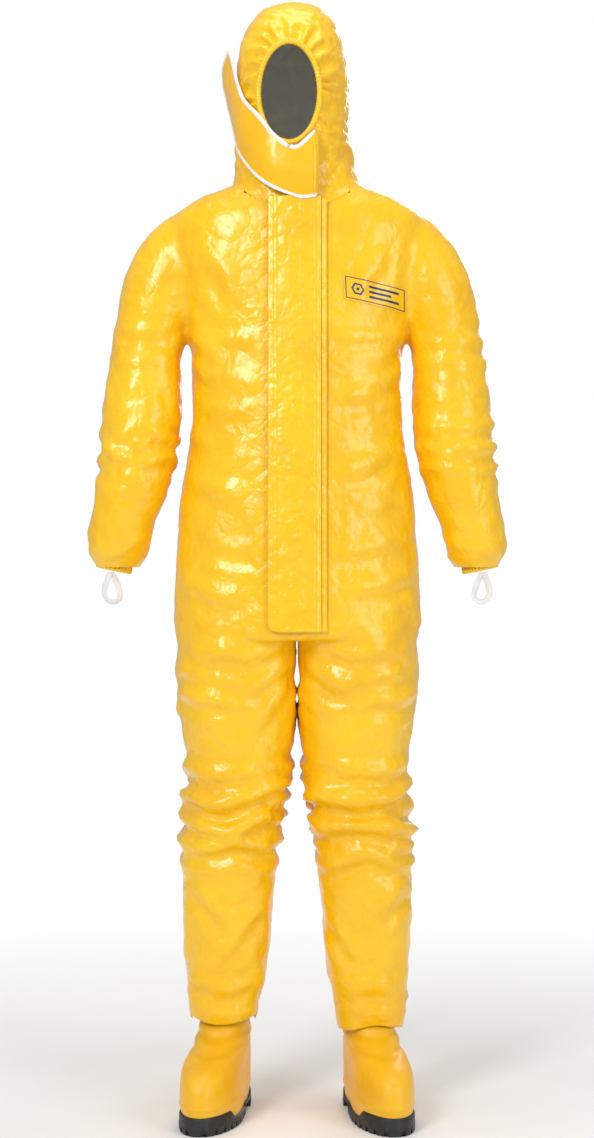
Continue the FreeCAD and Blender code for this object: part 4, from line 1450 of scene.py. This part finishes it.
def badge_mark(u, v):
    """True where the badge is printed: a square-cornered frame, a six-sided ring and three bars."""
    x, y = u * BADGE_WIDTH, v * BADGE_HEIGHT
    inset = np.minimum(np.minimum(x, BADGE_WIDTH - x), np.minimum(y, BADGE_HEIGHT - y))
    frame_line = (inset > 2.4) & (inset < 4.2)
    hx, hy = np.abs(x - 21), np.abs(y - 19)
    six = np.maximum(hx * 0.866 + hy * 0.5, hy)
    hexagon = (six > 6.0) & (six < 8.6)
    bars = np.zeros_like(x, bool)
    for middle, right in ((11.5, 84), (19.0, 72), (26.5, 84)):
        bars |= (np.abs(y - middle) < 1.7) & (x > 38) & (x < right)
    return frame_line | hexagon | bars | (six < 2.2)


def make_badge():
    cols, rows = 192, 76
    a, b, c, d = (np.array(k) for k in BADGE_CORNERS)
    grid = np.empty((rows, cols, 3))
    for r in range(rows):
        for k in range(cols):
            u, v = k / (cols - 1), r / (rows - 1)
            x, z = (a * (1 - u) + b * u) * (1 - v) + (d * (1 - u) + c * u) * v
            grid[r, k] = (x, cloth_front(x, z, front_y(z)), z)
    grid = smooth_grid(grid, 60)
    for _ in range(4):
        surface = np.array([[cloth_front(p[0], p[2], p[1]) for p in row] for row in grid[::4, ::4]])
        grid[:, :, 1] -= max(0.0, float(np.percentile(grid[::4, ::4, 1] - surface, 98)))
    grid[:, :, 1] -= 0.0010
    obj = link("chest_badge_print", grid.reshape(-1, 3), grid_faces(rows, cols))
    smooth(obj)
    if normals_of(obj)[:, 1].mean() > 0:
        obj.data.flip_normals()
    obj.data.materials.append(FLAP_YELLOW)
    obj.data.materials.append(BADGE_BLUE)
    r, k = np.divmod(np.arange((rows - 1) * (cols - 1)), cols - 1)
    mark = badge_mark((k + 0.5) / (cols - 1), (r + 0.5) / (rows - 1))
    obj.data.polygons.foreach_set("material_index", mark.astype(np.int32))
    wall = obj.modifiers.new("wall", "SOLIDIFY")
    wall.thickness = 0.0006
    wall.offset = -1
    apply_modifiers(obj)
    smooth(obj)
    remember_rest(obj)
    return obj


badge = make_badge()
dress(badge, ["chest_badge"], "root")


# ---------------------------------------------------------------- cuffs and thumb loops
def make_cuff(s, side):
    """Gathered elastic edge of the sleeve, bunched into pleats."""
    low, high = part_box("cuff_elastic_" + side)
    middle = Vector(((low.x + high.x) / 2, (low.y + high.y) / 2, (low.z + high.z) / 2))
    down = forearm_down(s)
    across = Vector((0, 1, 0)).cross(down).normalized()
    rows, around = 26, 260
    t = np.linspace(0, 1, rows)
    profile_r = np.interp(t, (0, 0.22, 0.45, 0.62, 0.8, 0.92, 1.0),
                          (0.0310, 0.0315, 0.0285, 0.0292, 0.0298, 0.0290, 0.0262))
    profile_d = np.interp(t, (0, 0.45, 0.9, 1.0), (-0.0150, -0.0040, 0.0085, 0.0090))
    a = turns(around)
    verts = []
    for k in range(rows):
        pleat = np.abs(np.sin(a * 17 + 1.5 * np.sin(a * 3 + k * 0.10))) * 2 - 1
        r = profile_r[k] + 0.0014 * pleat * (0.5 + 0.5 * math.sin(math.pi * t[k]))
        spot = np.array(middle) + np.array(down) * profile_d[k]
        verts.append(spot + np.outer(np.cos(a) * r, across) + np.outer(np.sin(a) * r, (0, 1, 0)))
    obj = link("cuff_gather_" + side, np.concatenate(verts), grid_faces(rows, around, wrap=True))
    smooth(obj)
    face_away(obj, np.array(middle))
    thicken(obj, HOOD_WALL, YELLOW, WHITE_INSIDE)
    dress(obj, ["cuff_elastic_" + side], "forearm_" + side)


# across from the top of the loop and height from it, once round
LOOP = ((0.002, 0.000), (-0.006, -0.014), (-0.011, -0.028), (-0.0125, -0.040), (-0.006, -0.0475),
        (0.005, -0.0465), (0.0125, -0.037), (0.0125, -0.025), (0.0085, -0.012), (0.0035, 0.000))


def make_loop(s, side):
    """Thumb loop: flat white elastic, folded into a drop and sewn inside the cuff."""
    low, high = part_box("thumb_loop_" + side)
    top = Vector(((low.x + high.x) / 2, (low.y + high.y) / 2, high.z))
    rows = even_path([(x * s, 0.004 * math.sin(k * 1.1), z) for k, (x, z) in enumerate(LOOP)], 120)
    path = rows + np.array(top) - np.array((0, 0, 0.003))
    along = unit(np.gradient(path, axis=0))
    t = np.linspace(0, 1, len(path))
    lean = np.radians(72 - 14 * np.sin(np.pi * t) ** 2)[:, None]
    in_plane = unit(np.cross(along, (0, 1, 0)))
    across = unit(in_plane * np.sin(lean) + np.array((0, 1, 0)) * np.cos(lean))
    out = unit(np.cross(along, across))
    obj = tube("thumb_loop_band_" + side, path, across, out, 0.0050, 0.0009, count=12)
    obj.data.materials.append(ELASTIC)
    remember_rest(obj)
    dress(obj, ["thumb_loop_" + side], "thumb_loop_" + side)
for s, side in SIDES:
    make_cuff(s, side)
    make_loop(s, side)


# ---------------------------------------------------------------- chin flap's sewn edge
def make_chin_hem():
    """The welded strip over the chin flap's sewn edge."""
    edge = chin_grid[:, :3].mean(1)
    outward = from_neck(edge)
    over = unit(np.cross(outward, (0, 0, 1)))
    over *= np.sign(over[:, 0])[:, None]
    cols = 8
    lines = []
    for k in range(cols):
        tucked = 0.0012 - 0.0035 * (k / (cols - 1)) ** 1.5
        aside = -0.0025 + 0.0095 * k / (cols - 1)
        lines.append(edge + outward * tucked + over * aside)
    return sheet_skin("chin_flap_sewn_hem", np.stack(lines, 1), 0.0010, FLAP_YELLOW, FLAP_YELLOW)


chin_hem = make_chin_hem()
dress(chin_hem, ["chin_flap_hem"], "hood")


# ---------------------------------------------------------------- inner flap
inner = make_strip("inner_flap_cloth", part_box("inner_flap"), -0.0065, FLAP_YELLOW, 0.0008, cols=24,
                   wall=0.0010)
dress(inner, ["inner_flap"], "root")


# ---------------------------------------------------------------- boots
# height, toe, heel and half width from the shaft's axis
BOOT = (
    (0.012, 0.196, 0.080, 0.0460), (0.034, 0.202, 0.083, 0.0500), (0.050, 0.2035, 0.085, 0.0515),
    (0.068, 0.2015, 0.0855, 0.0515), (0.084, 0.193, 0.085, 0.0510), (0.097, 0.174, 0.083, 0.0495),
    (0.108, 0.143, 0.079, 0.0470), (0.119, 0.102, 0.073, 0.0440), (0.132, 0.072, 0.066, 0.0420),
    (0.148, 0.054, 0.056, 0.0400), (0.164, 0.046, 0.048, 0.0385), (0.178, 0.042, 0.044, 0.0370),
    (0.240, 0.040, 0.042, 0.0370), (0.300, 0.040, 0.042, 0.0375), (0.328, 0.041, 0.043, 0.0380),
)


TOES_OUT = 11.0
SOLE_TOE, SOLE_HEEL, SOLE_HALF = 0.2050, 0.0865, 0.0528
CLEAT_PITCH = 0.0225
BAR_ROWS = (-0.178, -0.156, -0.134, -0.112, -0.090, -0.068, -0.046, 0.038, 0.058)
BAR_HALF, BAR_HEIGHT = 0.0065, 0.0100


def foot_outline(toe, heel, half, count):
    """Foot outline seen from above, from the toe round: fuller at the ball than at the heel."""
    a = turns(count)
    middle, reach = (heel - toe) / 2, (heel + toe) / 2
    c, s_ = np.cos(a), np.sin(a)
    y = middle - reach * np.sign(c) * np.abs(c) ** 0.94
    behind = (y - middle) / reach
    shape = np.clip((toe - 0.074) / 0.130, 0, 1)
    narrow = 0.14 * bump(behind, 0.2, 0.4) + 0.1 * np.maximum(0.0, behind)
    x = half * (1 - shape * narrow) * np.sign(s_) * np.abs(s_) ** 0.90
    return np.stack([x, y], 1)


def to_boot(local, s):
    """Local boot points (toe towards -Y) turned out and put on the boot's axis."""
    turn = s * math.radians(TOES_OUT)
    c, n = math.cos(turn), math.sin(turn)
    out = np.empty_like(local)
    out[:, 0] = s * BOOT_AXIS.x + local[:, 0] * c - local[:, 1] * n
    out[:, 1] = BOOT_AXIS.y + local[:, 0] * n + local[:, 1] * c
    out[:, 2] = local[:, 2]
    return out


def sole_edge(y):
    """Height of the black sole's upper edge along the foot: high round the toe and the heel, low
    under the arch."""
    toe = smoothstep((-0.120 - y) / 0.030)
    heel = smoothstep((y - 0.018) / 0.020)
    return 0.0185 + 0.0155 * toe + 0.0150 * heel


def make_boot_upper(s, side):
    around = 200
    rings = []
    for z, toe, heel, half in spline(BOOT, 8):
        outline = foot_outline(toe, heel, half, around)
        rings.append(np.column_stack([outline, np.full(around, z)]))
    rows = len(rings)
    co = np.concatenate(rings)
    obj = link("boot_upper_shell_" + side, to_boot(co, s), grid_faces(rows, around, wrap=True))
    smooth(obj)
    no = normals_of(obj)
    world = points_of(obj)
    axis = np.array((s * BOOT_AXIS.x, BOOT_AXIS.y, 0))
    if (((world - axis) * no)[:, :2]).sum(1).mean() < 0:
        obj.data.flip_normals()
        no = -no
    y, z = co[:, 1], co[:, 2]
    front = smoothstep((0.01 - y) / 0.05)
    wave = value_noise(co / 0.05, 121) * 0.004
    creases = sum(h * np.exp(-((z - level - 0.10 * np.abs(co[:, 0]) + wave) / w) ** 2) for h, level, w in (
        (-0.0024, 0.113, 0.0035), (0.0018, 0.121, 0.0045), (-0.0018, 0.131, 0.0035), (0.0013, 0.140, 0.0050)))
    back_crease = sum(h * np.exp(-((z - level + wave) / w) ** 2) for h, level, w in (
        (-0.0012, 0.122, 0.0040), (0.0010, 0.131, 0.0050)))
    high = front * creases + (1 - front) * back_crease
    welt, binding_ridge, cap_line = bump(z, 0.0425, 0.0028), bump(z, 0.322, 0.004), bump(y, -0.148, 0.0022)
    high += 0.0012 * welt
    high += 0.0012 * binding_ridge
    high += value_noise(co / 0.035, 123) * 0.0006
    high -= 0.0009 * cap_line * (z < 0.095) * (z > 0.044)
    set_points(obj, world + no * high[:, None])
    thicken(obj, BOOT_WALL, BOOT_PVC, BOOT_LINING)
    dress(obj, ["boot_upper_" + side], "boot_" + side)


def make_outsole(s, side):
    """Black sole: cleats round its edge, a raised rand at toe and heel, and bars underneath."""
    around = 480
    outline = foot_outline(SOLE_TOE, SOLE_HEEL, SOLE_HALF, around)
    middle = outline.mean(0)
    run = np.concatenate([[0], np.cumsum(np.linalg.norm(np.diff(outline, axis=0), axis=1))])
    y = outline[:, 1]
    arch = (y > -0.030) & (y < 0.022)
    cleat = smoothstep((np.abs((run / CLEAT_PITCH) % 1.0 - 0.5) * 2 - 0.22) / 0.12)
    cleat = np.where(arch, 0.0, cleat)
    inward = outline - middle
    size = np.linalg.norm(inward, axis=1)[:, None]
    inward = inward / size
    top = sole_edge(y)
    levels = []
    for share, pull in ((0.0, 0.0), (0.10, 0.0), (0.52, 0.0), (0.60, 0.0012), (0.90, 0.0010), (1.0, 0.0028)):
        if share < 0.5:
            z = np.where(arch, 0.0140, 0.0) + share * 0.012
            inset = 0.0008 + (1 - cleat) * 0.0042
            inset = np.where(arch, 0.0030, inset)
            if share == 0.0:
                inset = inset + 0.0012
        else:
            z = np.where(arch, 0.0150, 0.0105) + (top - 0.0150) * (share - 0.5) * 2
            inset = np.full(around, pull)
        levels.append(np.column_stack([outline - inward * inset[:, None], z]))
    levels.append(np.column_stack([outline - inward * 0.0095, top - 0.0015]))
    rows = len(levels)
    verts = np.concatenate(levels)
    faces = grid_faces(rows, around, wrap=True)
    # close the bottom and the top with strips across the foot
    half = around // 2
    for base in (0, (rows - 1) * around):
        for k in range(half):
            l0, l1 = base + k, base + k + 1
            r0, r1 = base + (around - k) % around, base + around - k - 1
            if k == 0:
                faces.append((l0, l1, r1))
            elif l1 == r1:
                faces.append((l0, l1, r0))
            else:
                faces.append((l0, l1, r1, r0))
    # bars under the forefoot and the heel
    for bar_y in BAR_ROWS:
        at = np.interp(bar_y, np.sort(y[:half]), outline[:half, 0][np.argsort(y[:half])]) - 0.009
        for x0, x1 in ((-at, -0.004), (0.004, at)):
            base = len(verts)
            near, far = bar_y - BAR_HALF, bar_y + BAR_HALF
            corner = [(x0, near), (x1, near), (x1, far), (x0, far)]
            low = [(x * 0.97, yy, 0.0) for x, yy in corner]
            high = [(x, yy, BAR_HEIGHT) for x, yy in corner]
            verts = np.vstack([verts, np.array(low + high)])
            faces += [(base + 3, base + 2, base + 1, base), (base + 4, base + 5, base + 6, base + 7)]
            for c in range(4):
                d = (c + 1) % 4
                faces.append((base + c, base + d, base + 4 + d, base + 4 + c))
    obj = link("boot_sole_" + side, to_boot(verts, s), faces)
    outward_normals(obj)
    obj.data.materials.append(SOLE_RUBBER)
    smooth(obj)
    edges = obj.modifiers.new("edges", "EDGE_SPLIT")
    edges.split_angle = math.radians(38)
    apply_modifiers(obj)
    remember_rest(obj)
    dress(obj, ["boot_outsole_" + side], "boot_" + side)
for s, side in SIDES:
    make_boot_upper(s, side)
    make_outsole(s, side)
    own_node("boot_insole_" + side, INSOLE)
    own_node("boot_midsole_plate_" + side, STEEL)
    own_node("boot_toe_cap_" + side, STEEL)
for name in ("zip_slider", "zip_pull", "zip_top_stop", "zip_bottom_stop"):
    own_node(name, ZIP_PLASTIC)
